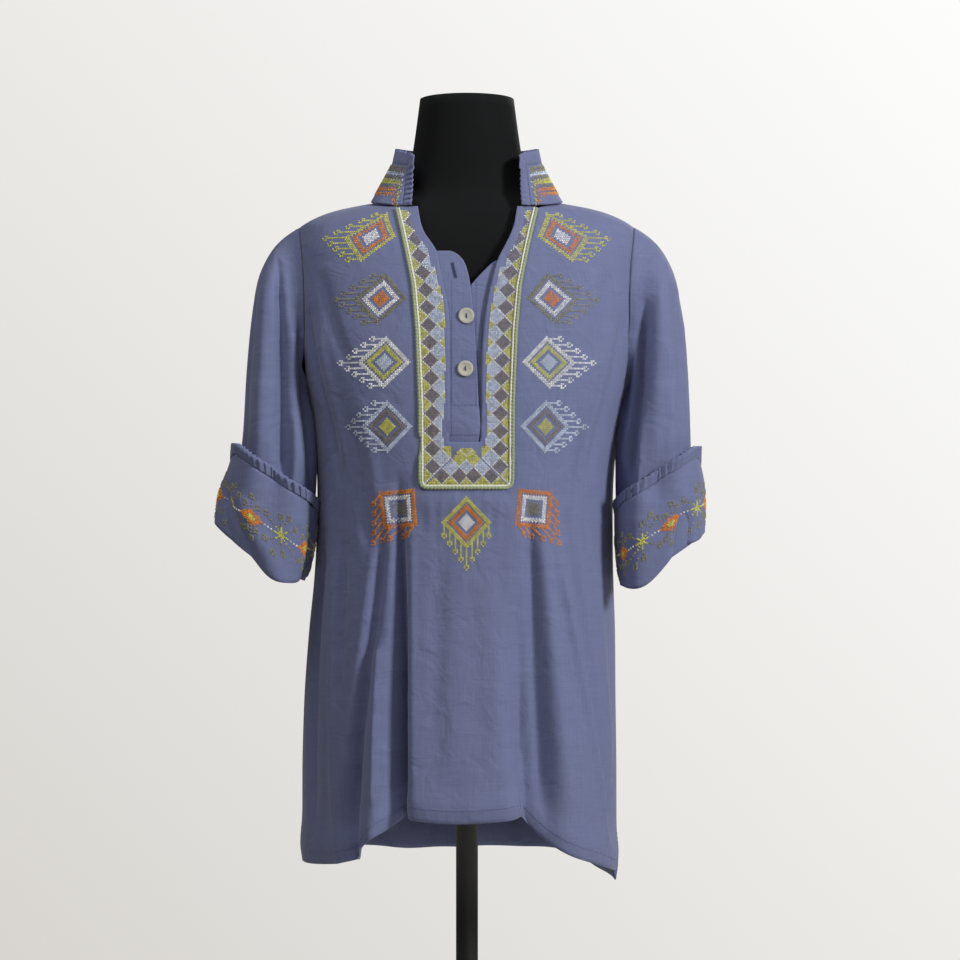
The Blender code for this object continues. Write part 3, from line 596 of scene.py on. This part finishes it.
def set_copies(name, shape, places, material, threads=None):
    """One piece of many copies of a small shape.

    Each place is its middle and its three directions, already as long as they have to be. threads
    gives each copy's own colour.
    """
    shape.verts.ensure_lookup_table()
    pattern = numpy.array([point.co for point in shape.verts])
    faces = [[point.index for point in face.verts] for face in shape.faces]
    middles = numpy.array([place[0] for place in places])
    frames = numpy.array([place[1:] for place in places])
    points = middles[:, None, :] + numpy.einsum("vk,nkx->nvx", pattern, frames)
    count = len(pattern)
    all_faces = [
        [corner + copy * count for corner in face] for copy in range(len(places)) for face in faces
    ]
    mesh = bpy.data.meshes.new(name)
    mesh.from_pydata(points.reshape(-1, 3).tolist(), [], all_faces)
    if threads is not None:
        dyed = mesh.color_attributes.new("thread", "FLOAT_COLOR", "POINT")
        dyed.data.foreach_set("color", numpy.repeat(numpy.array(threads), count, axis=0).ravel())
    mesh.materials.append(material)
    mesh.update()
    piece = new_object(name, mesh)
    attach(piece, "root")
    return piece


def sew(name, places, size, material):
    """One piece of short threads along X: low bars, narrower on top, with their feet in the cloth."""
    bar = bmesh.new()
    made = bmesh.ops.create_cube(bar, size=1.0)["verts"]
    bmesh.ops.scale(bar, vec=size, verts=made)
    bmesh.ops.scale(bar, vec=(0.62, 0.45, 1.0), verts=[point for point in made if point.co.z > 0])
    bmesh.ops.translate(bar, vec=(0, 0, 0.30 * size[2]), verts=made)
    set_copies(name, bar, places, material)
    bar.free()


def frame_on(place, normal, along):
    """A place on the cloth with its three directions: along the line, across it and outwards."""
    flat = (along - normal * along.dot(normal)).normalized()
    return place, flat, normal.cross(flat), normal


INWARD = Vector((0, 1, 0))
OUTSIDE = 0.5  # m, how far from the middle a level ray starts, outside all cloth


def drop_on(tree, x, z, ray=INWARD):
    """Where a level ray at x and z first meets the cloth, and its normal on that side, or None."""
    place, normal, _, _ = tree.ray_cast(Vector((x, 0, z)) - ray * OUTSIDE, ray)
    if place is None:
        return None, None
    return place, normal if normal.dot(ray) < 0 else -normal


def walk(path, step):
    """Points every step along a path, each with the direction of the path there."""
    left = 0.0
    for start, end in zip(path, path[1:]):
        run = end - start
        length = run.length
        while left < length:
            yield start + run * (left / length), run
            left += step
        left -= length


def stitch_line(tree, path, ray):
    """Stitches every few millimetres along a path of points, dropped on the cloth along ray."""
    places = []
    for point, run in walk(path, STITCH_STEP):
        place, normal = drop_on(tree, point.x, point.z, ray)
        if place is not None:
            places.append(frame_on(place, normal, run))
    return places


front_tree = surface_of(front_cloth)
bib_tree = surface_of(bib_cloth)
placket_tree = surface_of(overlap, underlap)

# x and z of the ends of each sewn line on the placket
PLACKET_LINES = (
    ((-0.0155, 1.118), (-0.0155, 1.285)),
    ((0.0105, 1.150), (0.0105, 1.285)),
    ((-0.0155, 1.118), (0.0145, 1.118)),
    ((-0.0155, 1.150), (0.0145, 1.150)),
    ((0.0165, 1.118), (0.0165, 1.250)),
)
seams = []
for (x_0, z_0), (x_1, z_1) in PLACKET_LINES:
    seams += stitch_line(placket_tree, [Vector((x_0, 0, z_0)), Vector((x_1, 0, z_1))], INWARD)


def edge_of(tree, x, ray, low, high):
    """The height where the cloth ends, under x, found by halving."""
    for _ in range(14):
        middle = (low + high) / 2
        if drop_on(tree, x, middle, ray)[0] is None:
            low = middle
        else:
            high = middle
    return high


HEM_DEPTH = 0.014  # m, from the hem's edge up to its line of stitches
HEM_REACH = 0.172  # m, how far to each side the line of stitches is sewn
HEM_STEPS = 70

for cloth, ray in ((front_cloth, INWARD), (back_cloth, -INWARD)):
    tree = surface_of(cloth)
    hem = []
    for step in range(HEM_STEPS + 1):
        x = HEM_REACH * math.sin(math.pi * (step / HEM_STEPS - 0.5))
        hem.append(Vector((x, 0, edge_of(tree, x, ray, low=0.55, high=0.80) + HEM_DEPTH)))
    seams += stitch_line(tree, hem, ray)

sew("topstitching", seams, (STITCH_LENGTH, THREAD_WIDTH, 0.0005), sewing_thread)


# The piping: two cords laid side by side over the seam round the bib, the outer one sage green and
# the inner one white. Each is twisted cotton, couched down, so that it looks like a row of beads.

PIPING_GREEN = "#97A37C"
PIPING_WHITE = "#E3E4DA"
TWIST_PITCH = 0.0038  # m, between two turns of the twist
CORD_STEP = 0.00095
CORD_SIDES = 8

# half-width of the bib at each height, from its lower corners up to the neckline
BIB_EDGE = (
    (1.0625, 0.0480),
    (1.1500, 0.0485),
    (1.2300, 0.0520),
    (1.2800, 0.0565),
    (1.3100, 0.0625),
    (1.3400, 0.0690),
    (1.3680, 0.0757),
)
BIB_CORNER = 0.006
BIB_TOP = 1.366  # m, the height of the upper ends of the piping and the stitches
OUTLINE_STEP = 0.004  # m, between two points of the outline


def bib_half(z):
    """The half-width of the bib at this height."""
    for (z_0, half_0), (z_1, half_1) in zip(BIB_EDGE, BIB_EDGE[1:]):
        if z <= z_1:
            share = max(0.0, (z - z_0) / (z_1 - z_0))
            return half_0 + (half_1 - half_0) * share
    return BIB_EDGE[-1][1]


def bib_outline(inset):
    """x and z all along the bib's edge, from the neckline down, along the bottom and up again."""
    bottom, half = BIB_EDGE[0]
    right = [
        (bib_half(z) - inset, z) for z in numpy.arange(BIB_TOP, bottom + BIB_CORNER, -OUTLINE_STEP)
    ]
    right += [
        (
            half - BIB_CORNER * (1 - math.cos(turn)) - 0.7 * inset,
            bottom + BIB_CORNER * (1 - math.sin(turn)) + 0.5 * inset,
        )
        for turn in (0.3, 0.8, 1.25)
    ]
    right += [(x, bottom + inset) for x in numpy.arange(half - BIB_CORNER, 0.002, -OUTLINE_STEP)]
    return right + [(-x, z) for x, z in reversed(right)]


edge_tree = surface_of(front_cloth, bib_cloth)
CORD_LIFT = 0.0014  # m, from the cloth to the middle of a cord
TWIST_SWELL = 0.20  # the share by which each turn of the twist stands out
TRACK_PASSES = 6  # how often the cord's line over the cloth is evened out


def twisted_cord(name, inset, thickness, colour):
    """A cord along the bib's edge, its thickness swelling with each turn of the twist."""
    cotton, shader = new_material(name, {"Roughness": 0.7, "Sheen Weight": 0.2})
    fuzz = noise(cotton, object_place(cotton), 900.0, Detail=2.0)
    feed(shader, {"Base Color": shaded(cotton, linear(colour), fuzz, 0.75, 1.2)})
    track = []
    for point, _ in walk([Vector((x, 0, z)) for x, z in bib_outline(inset)], CORD_STEP):
        place, normal = drop_on(edge_tree, point.x, point.z)
        if place is not None:
            track.append(place + normal * CORD_LIFT)
    for _ in range(TRACK_PASSES):
        track = [track[0]] + [
            (before + 2 * here + after) / 4 for before, here, after in zip(track, track[1:], track[2:])
        ] + [track[-1]]
    cord = bmesh.new()
    rings = []
    for step, point in enumerate(track):
        before, after = track[max(step - 1, 0)], track[min(step + 1, len(track) - 1)]
        along = (after - before).normalized()
        side = along.cross(-INWARD).normalized()
        swell = 1 + TWIST_SWELL * math.cos(2 * math.pi * step * CORD_STEP / TWIST_PITCH)
        turned = Matrix((side, along.cross(side), along)).transposed().to_4x4()
        rings.append(bmesh.ops.create_circle(
            cord, cap_ends=False, segments=CORD_SIDES, radius=thickness / 2 * swell,
            matrix=Matrix.Translation(point) @ turned,
        )["verts"])
    for ring, made in zip(rings, rings[1:]):
        for here in range(CORD_SIDES):
            following = (here + 1) % CORD_SIDES
            cord.faces.new((ring[here], ring[following], made[following], made[here]))
    cord.faces.new(list(reversed(rings[0])))
    cord.faces.new(rings[-1])
    bmesh.ops.recalc_face_normals(cord, faces=cord.faces)
    piece = new_object(name, mesh_of(name, cord))
    piece.data.polygons.foreach_set("use_smooth", [True] * len(piece.data.polygons))
    piece.data.materials.append(cotton)
    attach(piece, "root")
    return piece


green_cord = twisted_cord("green_piping", inset=-0.0012, thickness=0.0036, colour=PIPING_GREEN)
twisted_cord("white_piping", inset=0.0016, thickness=0.0021, colour=PIPING_WHITE)
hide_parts("bib_piping")


# The buttons: discs turned from grey shell, with a soft rim, a shallow dish and two holes, sewn on
# with blue thread. Shell is glossy and clouded. The third buttonhole, above them, is left open.

SHELL_LIGHT = "#D2D0C3"
SHELL_DARK = "#A29F92"

shell, shader = new_material("grey_shell", {"Roughness": 0.28})
clouds = noise(shell, object_place(shell), 170.0, Detail=4.0, Distortion=1.2)
feed(shader, {"Base Color": mixed(shell, clouds, linear(SHELL_DARK), linear(SHELL_LIGHT))})

# radius and height of the button's profile, from the middle of its back round to its dish
BUTTON_PROFILE = (
    (0.0, -0.0012), (0.0072, -0.0012), (0.0083, -0.0004), (0.0085, 0.0004), (0.0080, 0.0010),
    (0.0066, 0.0012), (0.0054, 0.0008), (0.0040, 0.0003), (0.0, 0.0003),
)
HOLE_OFFSET = 0.0017
HOLE_RADIUS = 0.00085
BUTTON_LEAN = 0.06  # radians, by which a button faces up


def shell_button(node, name):
    """A turned button in the place of its CAD disc, facing as the disc does."""
    low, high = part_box(node)
    middle = (Vector(low) + Vector(high)) / 2
    turned = bmesh.new()
    points = [turned.verts.new((radius, 0, height)) for radius, height in BUTTON_PROFILE]
    edges = [turned.edges.new(pair) for pair in zip(points, points[1:])]
    bmesh.ops.spin(
        turned, geom=points + edges, axis=(0, 0, 1), cent=(0, 0, 0), angle=2 * math.pi, steps=40,
        use_merge=True,
    )
    bmesh.ops.remove_doubles(turned, verts=turned.verts, dist=0.00002)
    bmesh.ops.recalc_face_normals(turned, faces=turned.faces)
    piece = new_object(name, mesh_of(name, turned))
    for side in (-1, 1):
        bit = bmesh.new()
        bmesh.ops.create_cone(
            bit, cap_ends=True, segments=16, radius1=HOLE_RADIUS, radius2=HOLE_RADIUS, depth=0.01,
            matrix=Matrix.Translation((0, side * HOLE_OFFSET, 0)),
        )
        drill = new_object("drill", mesh_of("drill", bit))
        cut = piece.modifiers.new("hole", "BOOLEAN")
        cut.operation = "DIFFERENCE"
        cut.solver = "EXACT"
        cut.object = drill
        bake(piece)
        bpy.data.objects.remove(drill)
    facing = Matrix.Rotation(math.pi / 2 - BUTTON_LEAN, 4, "X")
    piece.data.transform(Matrix.Translation(middle) @ facing)
    piece.data.set_sharp_from_angle(angle=0.6)
    stand_in(piece, node, shell)
    return middle, Vector((0, -1, BUTTON_LEAN)).normalized()


shanks = []
for node, name in (("button_1", "upper_button"), ("button_2", "lower_button")):
    middle, outward = shell_button(node, name)
    across_holes = Vector((0, 0, 1)) - outward * outward.z
    for side in (-0.0004, 0.0004):
        shanks.append((
            middle + outward * 0.0005 + Vector((side, 0, 0)), across_holes * 1.7,
            outward.cross(across_holes), outward * 2.2,
        ))
sew("button_thread", shanks, (0.0022, 0.0006, 0.0005), sewing_thread)

# x and z of the middle of each buttonhole, and how far its line leans
BUTTONHOLES = (
    (-0.0135, 1.2960, -0.22),
    (0.0000, 1.2458, 0.0),
    (-0.0010, 1.1889, 0.0),
)
HOLE_HALF = 0.0085
LIP_STEPS = 12  # stitches from the middle of a buttonhole to its end
LIP_ASIDE = 0.0011  # m, from the slit to the middle of the stitches beside it

hole_lips = []
hole_gaps = []
for x, z, lean in BUTTONHOLES:
    line = Vector((math.sin(lean), 0, math.cos(lean)))
    for step in range(-LIP_STEPS, LIP_STEPS + 1):
        point = Vector((x, 0, z)) + line * (HOLE_HALF * step / LIP_STEPS)
        place, normal = drop_on(placket_tree, point.x, point.z)
        if place is not None:
            spot = frame_on(place, normal, normal.cross(line))
            hole_lips += [(place + spot[1] * (side * LIP_ASIDE), *spot[1:]) for side in (-1, 1)]
    place, normal = drop_on(placket_tree, x, z)
    if place is not None:
        hole_gaps.append(frame_on(place, normal, line))
sew("buttonhole_stitches", hole_lips, (0.0017, 0.0008, 0.0007), sewing_thread)

# Painted shade: each buttonhole's slit is a thin bar in a dark linen colour, which stands in for the
# shadow in the opening.
SLIT_SHADE = "#30344D"
slit_painted_shade, _ = new_material(
    "painted_shade_in_slit", {"Base Color": linear(SLIT_SHADE), "Roughness": 0.95}
)
sew("buttonhole_slits", hole_gaps, (2 * HOLE_HALF, 0.0012, 0.0004), slit_painted_shade)


# The embroidery: counted cross-stitch in six-strand cotton, worked through the linen. Each stitch
# is two crossed threads with a soft shine. The pitch is the real one, about 2 mm.

PITCH = 0.0019  # m, of the dense stitching on the bib
MOTIF_PITCH = 0.0021  # m, of the placed motifs, the collar and the cuffs

# the dyed cottons
COTTON = {
    "chartreuse": "#E2E06A",
    "lime": "#D0CF62",
    "white": "#FFFFFB",
    "blue": "#DDE6F3",
    "taupe": "#978D86",
    "olive": "#9B987A",
    "orange": "#F09A2C",
}

stranded_cotton, shader = new_material(
    "stranded_cotton", {"Roughness": 0.55, "Sheen Weight": 0.1, "Sheen Roughness": 0.3}
)
dyed = add_node(stranded_cotton, "ShaderNodeAttribute", {}, attribute_name="thread").outputs["Color"]
strands = noise(stranded_cotton, object_place(stranded_cotton), 700.0, Detail=2.0)
feed(shader, {"Base Color": shaded(stranded_cotton, dyed, strands, 0.72, 1.25)})

# one cross-stitch, one pitch wide: two crossed threads, the second over the first
cross = bmesh.new()
for turn, lift in ((math.pi / 4, 0.0), (-math.pi / 4, 0.07)):
    arm = bmesh.ops.create_cube(cross, size=1.0)["verts"]
    bmesh.ops.scale(cross, vec=(1.28, 0.31, 0.34), verts=arm)
    bmesh.ops.scale(cross, vec=(0.60, 0.45, 1.0), verts=[v for v in arm if v.co.z > 0])
    bmesh.ops.rotate(cross, cent=(0, 0, 0), matrix=Matrix.Rotation(turn, 3, "Z"), verts=arm)
    bmesh.ops.translate(cross, vec=(0, 0, 0.08 + lift), verts=arm)


def stitch_at(place, normal, across, pitch, thread):
    """A stitch on the cloth, square to it: its directions are as long as the pitch, and its colour."""
    spot, right, up, out = frame_on(place, normal, across)
    return (spot, right * pitch, up * pitch, out * pitch), linear(COTTON[thread])


ROUND_REACH = 0.3  # m, how far from its axis a ray to a tube of cloth starts


def meet_round(tree, axis, angle, z):
    """Where a level ray from outside first meets the cloth round an axis, and its outer normal."""
    out = Vector((math.sin(angle), -math.cos(angle), 0))
    start = Vector((*axis, z)) + out * ROUND_REACH
    place, normal, _, _ = tree.ray_cast(start, -out, ROUND_REACH)
    if place is None:
        return None, None
    return place, normal if normal.dot(out) > 0 else -normal


def lay_chart(cells, across, height, turn):
    """Stitches a chart on the front, from where its row 0 and column 0 start.

    A cell is its column, its row and its thread. The rows run straight down where turn is 0.
    """
    laid = []
    for column, row, thread in cells:
        round_by = column * math.cos(turn) + row * math.sin(turn)
        rise = column * math.sin(turn) - row * math.cos(turn)
        angle = (across + round_by * MOTIF_PITCH) / BODY_RADIUS
        place, normal = meet_round(front_tree, (0.0, 0.0), angle, height + rise * MOTIF_PITCH)
        if place is not None:
            level = Vector((math.cos(angle), math.sin(angle), 0)) * math.cos(turn)
            along = level - Vector((0, 0, math.sin(turn)))
            laid.append(stitch_at(place, normal, along, MOTIF_PITCH, thread))
    return laid


def embroider(name, laid):
    """Makes one piece of all these stitches, each a little lighter or darker with its tension."""
    tension = numpy.random.default_rng(7).uniform(0.70, 1.20, len(laid))
    threads = [
        [part * shade for part in dye[:3]] + [1.0] for (_, dye), shade in zip(laid, tension)
    ]
    set_copies(name, cross, [stitch for stitch, _ in laid], stranded_cotton, threads)


# The bib's band is a lattice of diamonds in four rows, each one outlined in white. Its stitches
# follow the two edges up the sides and the lower edge across, and meet at the corners.

BAND_WIDE = 16  # stitches across the band at the sides
BAND_LOW = 21  # and along the bottom
DIAMOND = 5  # half the repeat, in stitches
BAND_START = 0.0026  # m, from the bib's edge to the middle of the first stitch
FACING_LOW = 1.300  # m, above which the bib ends at the neckline
FACING = 0.0095  # m, the plain binding that the neckline's edge is finished with


def band_cell(across, along):
    """The thread at a place on the band: across counts in from the edge, along from the corner."""
    low = int(across // DIAMOND)
    for row in (low, low + 1):
        middle = DIAMOND if row % 2 == 0 else 0
        away = abs(across - row * DIAMOND)
        beside = abs((along - middle + DIAMOND) % (2 * DIAMOND) - DIAMOND)
        if away + beside < DIAMOND:
            return ("chartreuse", "taupe", "blue", "chartreuse", "lime")[min(row, 4)]
    return "white"


def band_stitch(x, z, thread):
    """One stitch on the bib, or none off its cloth and where the placket lies on it."""
    place, normal = drop_on(bib_tree, x, z)
    if place is None or drop_on(placket_tree, x, z)[0] is not None:
        return []
    return [stitch_at(place, normal, Vector((1, 0, 0)), PITCH, thread)]


band = []
low_row = BIB_EDGE[0][0] + BAND_START
for side in (-1, 1):
    for along in range(int((BIB_TOP - low_row) / PITCH)):
        z = low_row + along * PITCH
        half = bib_half(z) - BAND_START
        bare = 0.0
        while z > FACING_LOW and drop_on(bib_tree, side * bare, z)[0] is None:
            bare += 0.0005
        for across in range(BAND_WIDE):
            x = side * (half - across * PITCH)
            if along < across or (z > FACING_LOW and abs(x) < bare + FACING):
                continue
            inmost = across == BAND_WIDE - 1 and along > BAND_LOW
            band += band_stitch(x, z, "olive" if inmost else band_cell(across, along))
        if side == 1 and along < BAND_LOW:
            count = int((half - (along + 1) * PITCH) / PITCH)
            for column in range(-count, count + 1):
                x = column * PITCH
                if along < BAND_WIDE or abs(x) <= half - BAND_WIDE * PITCH + 0.5 * PITCH:
                    band += band_stitch(x, z, band_cell(along, round((half - abs(x)) / PITCH)))
embroider("bib_stitches", band)


# The placed motifs are stepped diamonds with straight drops, four up each side of the bib with
# the drops outwards, one at each lower corner and one under the middle.

MOTIF_HALF = 13  # stitches from the middle of the diamond to its corner
MOTIF_RINGS = ((11, 13), (7, 9), (0, 4))  # stitches from the middle to its edge, ring and heart
MOTIF_GAP = 0.010  # m, from the bib to the diamonds beside it
DROPS = 4  # drops on each side of the middle one
DROP_STEP = 3
DROP_LENGTH = 8  # stitches in the middle drop, and one less for each drop away from it


def motif(edge, ring, heart):
    """The cells of one motif in its three threads, its diamond's near corner at row 0."""
    cells = []
    for column in range(-MOTIF_HALF, MOTIF_HALF + 1):
        for row in range(2 * MOTIF_HALF + 1):
            reach = abs(column) + abs(row - MOTIF_HALF)
            for (low, high), thread in zip(MOTIF_RINGS, (edge, ring, heart)):
                if low <= reach <= high:
                    cells.append((column, row, thread))
    for drop in range(-DROPS, DROPS + 1):
        column = DROP_STEP * drop
        start = 2 * MOTIF_HALF + 1 - abs(column)
        end = start + DROP_LENGTH - abs(drop)
        cells += [(column, row, edge) for row in range(start, end)]
        for offset, row in ((0, end), (-1, end + 1), (1, end + 1), (0, end + 2), (-1, end), (1, end)):
            cells.append((column + offset, row, edge))
    return cells


# the height, and the threads of the edge, the ring and the heart
SIDE_MOTIFS = (
    (1.334, "chartreuse", "orange", "white"),
    (1.265, "olive", "white", "orange"),
    (1.196, "white", "chartreuse", "blue"),
    (1.127, "blue", "taupe", "chartreuse"),
)
# where the diamond starts, across and up, and the turn of its drops from straight down
LOW_MOTIFS = (
    (-0.056, 1.060, -0.7, "orange", "white", "olive"),
    (0.056, 1.060, 0.7, "orange", "white", "olive"),
    (0.0, 1.052, 0.0, "chartreuse", "orange", "white"),
)


def across_at(x, z):
    """How far round the body the cloth at this x is."""
    place, _ = drop_on(front_tree, x, z)
    return BODY_RADIUS * math.atan2(place.x, -place.y)


chest = []
for z, *threads in SIDE_MOTIFS:
    for side in (-1, 1):
        start = across_at(side * (bib_half(z) + MOTIF_GAP), z)
        chest += lay_chart(motif(*threads), start, z, side * math.pi / 2)
for x, z, turn, *threads in LOW_MOTIFS:
    chest += lay_chart(motif(*threads), across_at(x, z), z, turn)
embroider("chest_stitches", chest)


# The collar is worked all round in level lines, and each cuff has a border of small stars and
# diamonds that runs along with its ruffle.

def way_round(tree, axis, height):
    """The angles round a tube, and how far round the cloth each is, at the height that each has."""
    angles, places = [], []
    for degree in range(-180, 181, 2):
        angle = math.radians(degree)
        place, _ = meet_round(tree, axis, angle, height(angle))
        if place is not None:
            angles.append(angle)
            places.append(place)
    steps = [0.0] + [(b - a).length for a, b in zip(places, places[1:])]
    return angles, list(numpy.cumsum(steps))


def top_edge(tree, axis, angle, high, low):
    """The height of the cloth's upper edge, looked for from above, in this direction."""
    z = high
    while z > low and meet_round(tree, axis, angle, z)[0] is None:
        z -= 0.001
    return max(z, low)


def stitch_round(tree, axis, angle, z, thread, pitch):
    """One stitch where a level line from outside meets the tube, or none past its ends."""
    place, normal = meet_round(tree, axis, angle, z)
    if place is None:
        return []
    along = Vector((math.cos(angle), math.sin(angle), 0))
    return [stitch_at(place, normal, along, pitch, thread)]


# each line of the collar from the top down: its thread, and whether every stitch or each second
COLLAR_LINES = (
    ("olive", 1), ("taupe", 2), ("olive", 1), ("blue", 2),
    ("blue", 1), ("olive", 2), ("taupe", 1), ("chartreuse", 2),
    ("lime", 1), ("chartreuse", 1), ("olive", 2), ("taupe", 1),
    ("orange", 2), ("orange", 1), ("taupe", 2), ("orange", 1), ("orange", 2),
)
NECK_AXIS = (0.0, NECK_CENTRE)
NECK_STITCHES = 0.092  # m, the collar's radius where the stitches are counted
FREE_END = 0.035  # radians left bare at the collar's front ends
COLLAR_INSET = 0.0028  # m, from the collar's upper edge to its first line
LINE_STEP = 0.00195  # m of height between two lines, on the sloping collar

collar_tree = surface_of(collar_stand)
collar_laid = []
turn_step = MOTIF_PITCH / NECK_STITCHES
for count in range(int(2 * math.pi / turn_step)):
    angle = -math.pi + count * turn_step
    top = top_edge(collar_tree, NECK_AXIS, angle, high=1.432, low=1.36)
    for line, (thread, every) in enumerate(COLLAR_LINES):
        z = top - COLLAR_INSET - line * LINE_STEP
        clear = all(
            stitch_round(collar_tree, NECK_AXIS, angle + aside, z, thread, MOTIF_PITCH)
            for aside in (-FREE_END, FREE_END)
        )
        if count % every == 0 and clear:
            collar_laid += stitch_round(collar_tree, NECK_AXIS, angle, z, thread, MOTIF_PITCH)
embroider("collar_stitches", collar_laid)

# columns and rows of the small squares round a star, and of the stitches that lead to them
STAR_SQUARES = (
    (0, 10), (9, 8), (-9, 7), (1, -10), (11, -8), (-10, -7),
    (14, 6), (22, 7), (18, 11), (15, -7), (21, -6), (18, -11), (5, 12), (-5, -12),
)
STAR_LEADS = (
    (0, 5), (0, 6), (0, 8), (5, 5), (6, 5), (7, 6), (-5, 4), (-6, 5), (-7, 5),
    (0, -5), (0, -6), (1, -8), (5, -4), (6, -5), (8, -6), (-5, -4), (-6, -5), (-8, -6),
    (18, 6), (18, 8), (16, 5), (20, 5), (18, -6), (18, -8), (16, -5), (20, -4),
    (3, 8), (4, 10), (-3, -8), (-4, -10),
)
BORDER_REPEAT = 36  # stitches from one star to the next, with a diamond half-way
BORDER_DROP = 0.054  # m, from the cuff's sewn edge down to the middle of the border
BORDER_SHARE = 0.60  # or this share of the cuff's height, where that is less


def border():
    """The cells of one repeat of the cuff's border, its star at column 0 and row 0."""
    cells = []
    for column in range(-4, 5):
        for row in range(-4, 5):
            straight = column == 0 or row == 0
            slanted = abs(column) == abs(row) and abs(column) <= 3
            if straight or slanted or (abs(column) <= 1 and abs(row) <= 1):
                cells.append((column, row, "chartreuse"))
    for middle, height in STAR_SQUARES:
        for column in (-1, 0, 1):
            for row in (-1, 0, 1):
                if column or row:
                    cells.append((middle + column, height + row, "olive"))
    cells += [(column, row, "olive") for column, row in STAR_LEADS]
    cells += [(side * column, 0, "white") for side in (-1, 1) for column in (6, 8, 10)]
    half = BORDER_REPEAT // 2
    for column in range(-7, 8):
        for row in range(-4, 5):
            reach = abs(column) * 0.6 + abs(row)
            if reach <= 1.7:
                cells.append((half + column, row, "chartreuse"))
            elif reach <= 4.4:
                cells.append((half + column, row, "orange"))
    return cells


def cuff_border(name, cuff, side, start):
    """The border round one cuff. start is the angle of one of its diamonds."""
    tree = surface_of(cuff)
    axis = (side * SLEEVE_CENTRE[0], SLEEVE_CENTRE[1])
    heights = {}

    def middle_line(angle):
        """The height of the border's middle in this direction, kept for every second degree."""
        key = round(math.degrees(angle) / 2)
        if key not in heights:
            top = top_edge(tree, axis, angle, high=1.11, low=0.95)
            foot = top
            while meet_round(tree, axis, angle, foot - 0.002)[0] is not None:
                foot -= 0.002
            heights[key] = top - min(BORDER_DROP, BORDER_SHARE * (top - foot))
        return heights[key]

    angles, ways = way_round(tree, axis, middle_line)
    repeats = round(ways[-1] / (BORDER_REPEAT * MOTIF_PITCH))
    pitch = ways[-1] / (repeats * BORDER_REPEAT)
    begin = float(numpy.interp(start, angles, ways)) + pitch * BORDER_REPEAT / 2
    middles = [middle_line(angle) for angle in angles]
    laid = []
    for repeat in range(repeats):
        for column, row, thread in border():
            way = (begin + (repeat * BORDER_REPEAT + column) * pitch) % ways[-1]
            angle = float(numpy.interp(way, ways, angles))
            z = float(numpy.interp(angle, angles, middles)) + row * pitch * 0.94
            laid += stitch_round(tree, axis, angle, z, thread, pitch)
    embroider(name, laid)


cuff_border("left_cuff_stitches", left_cuff, 1, math.radians(6))
cuff_border("right_cuff_stitches", right_cuff, -1, math.radians(-13))
cross.free()


# The studio: a pale paper floor under the stand, a pale background that is brighter on the right,
# a key lamp and a large weak fill at the front right, one lamp above and one behind.

PAPER = "#D9D7D2"
BACKDROP_DIM = "#D8D5D0"
BACKDROP_BRIGHT = "#FDFDFC"
FLOOR_RADIUS = 2.6
ROOM_LIGHT = 0.11  # how much of the background's brightness lights the room

paper, _ = new_material("pale_paper", {"Base Color": linear(PAPER), "Roughness": 0.9})
disc = bmesh.new()
bmesh.ops.create_circle(disc, cap_ends=True, segments=96, radius=FLOOR_RADIUS)
floor = new_object("paper_floor", mesh_of("paper_floor", disc))
floor.data.materials.append(paper)

world = bpy.data.worlds.new("studio")
bpy.context.scene.world = world
world.use_nodes = True
direction = add_node(world, "ShaderNodeTexCoord", {}).outputs["Generated"]
toward = add_node(world, "ShaderNodeSeparateXYZ", {"Vector": direction}).outputs
brightness = spread(world, combined(world, "ADD", toward["X"], toward["Z"]), (-0.34, 0.34))
seen = add_node(world, "ShaderNodeLightPath", {}).outputs["Is Camera Ray"]
feed(world.node_tree.nodes["Background"], {
    "Color": mixed(world, brightness, linear(BACKDROP_DIM), linear(BACKDROP_BRIGHT)),
    "Strength": spread(world, seen, target=(ROOM_LIGHT, 1.0)),
})
bpy.context.scene.view_settings.view_transform = "Standard"

# name, place, size and power of each lamp, all aimed at the middle of the bib
LAMPS = (
    ("key_lamp", (2.5, -2.0, 2.5), 0.7, 90.0),
    ("fill_lamp", (1.0, -3.2, 1.9), 1.8, 5.0),
    ("top_lamp", (-0.8, -0.9, 3.1), 1.2, 20.0),
    ("back_lamp", (1.2, 2.8, 2.4), 1.2, 30.0),
)
LAMP_AIM = Vector((0, -0.05, 1.1))
for name, place, size, power in LAMPS:
    light = bpy.data.lights.new(name, "AREA")
    light.shape = "DISK"
    light.size = size
    light.energy = power
    lamp = new_object(name, light)
    lamp.location = place
    lamp.rotation_euler = (LAMP_AIM - Vector(place)).to_track_quat("-Z", "Y").to_euler()

# The camera stands level, three metres in front of the middle of the tunic.
view = bpy.data.cameras.new("camera")
view.sensor_width = 36.0
view.lens = 100.4
camera = new_object("camera", view)
camera.location = (0.0146, -3.0, 1.07)
camera.rotation_euler = (math.pi / 2, 0.0, 0.0)
bpy.context.scene.camera = camera
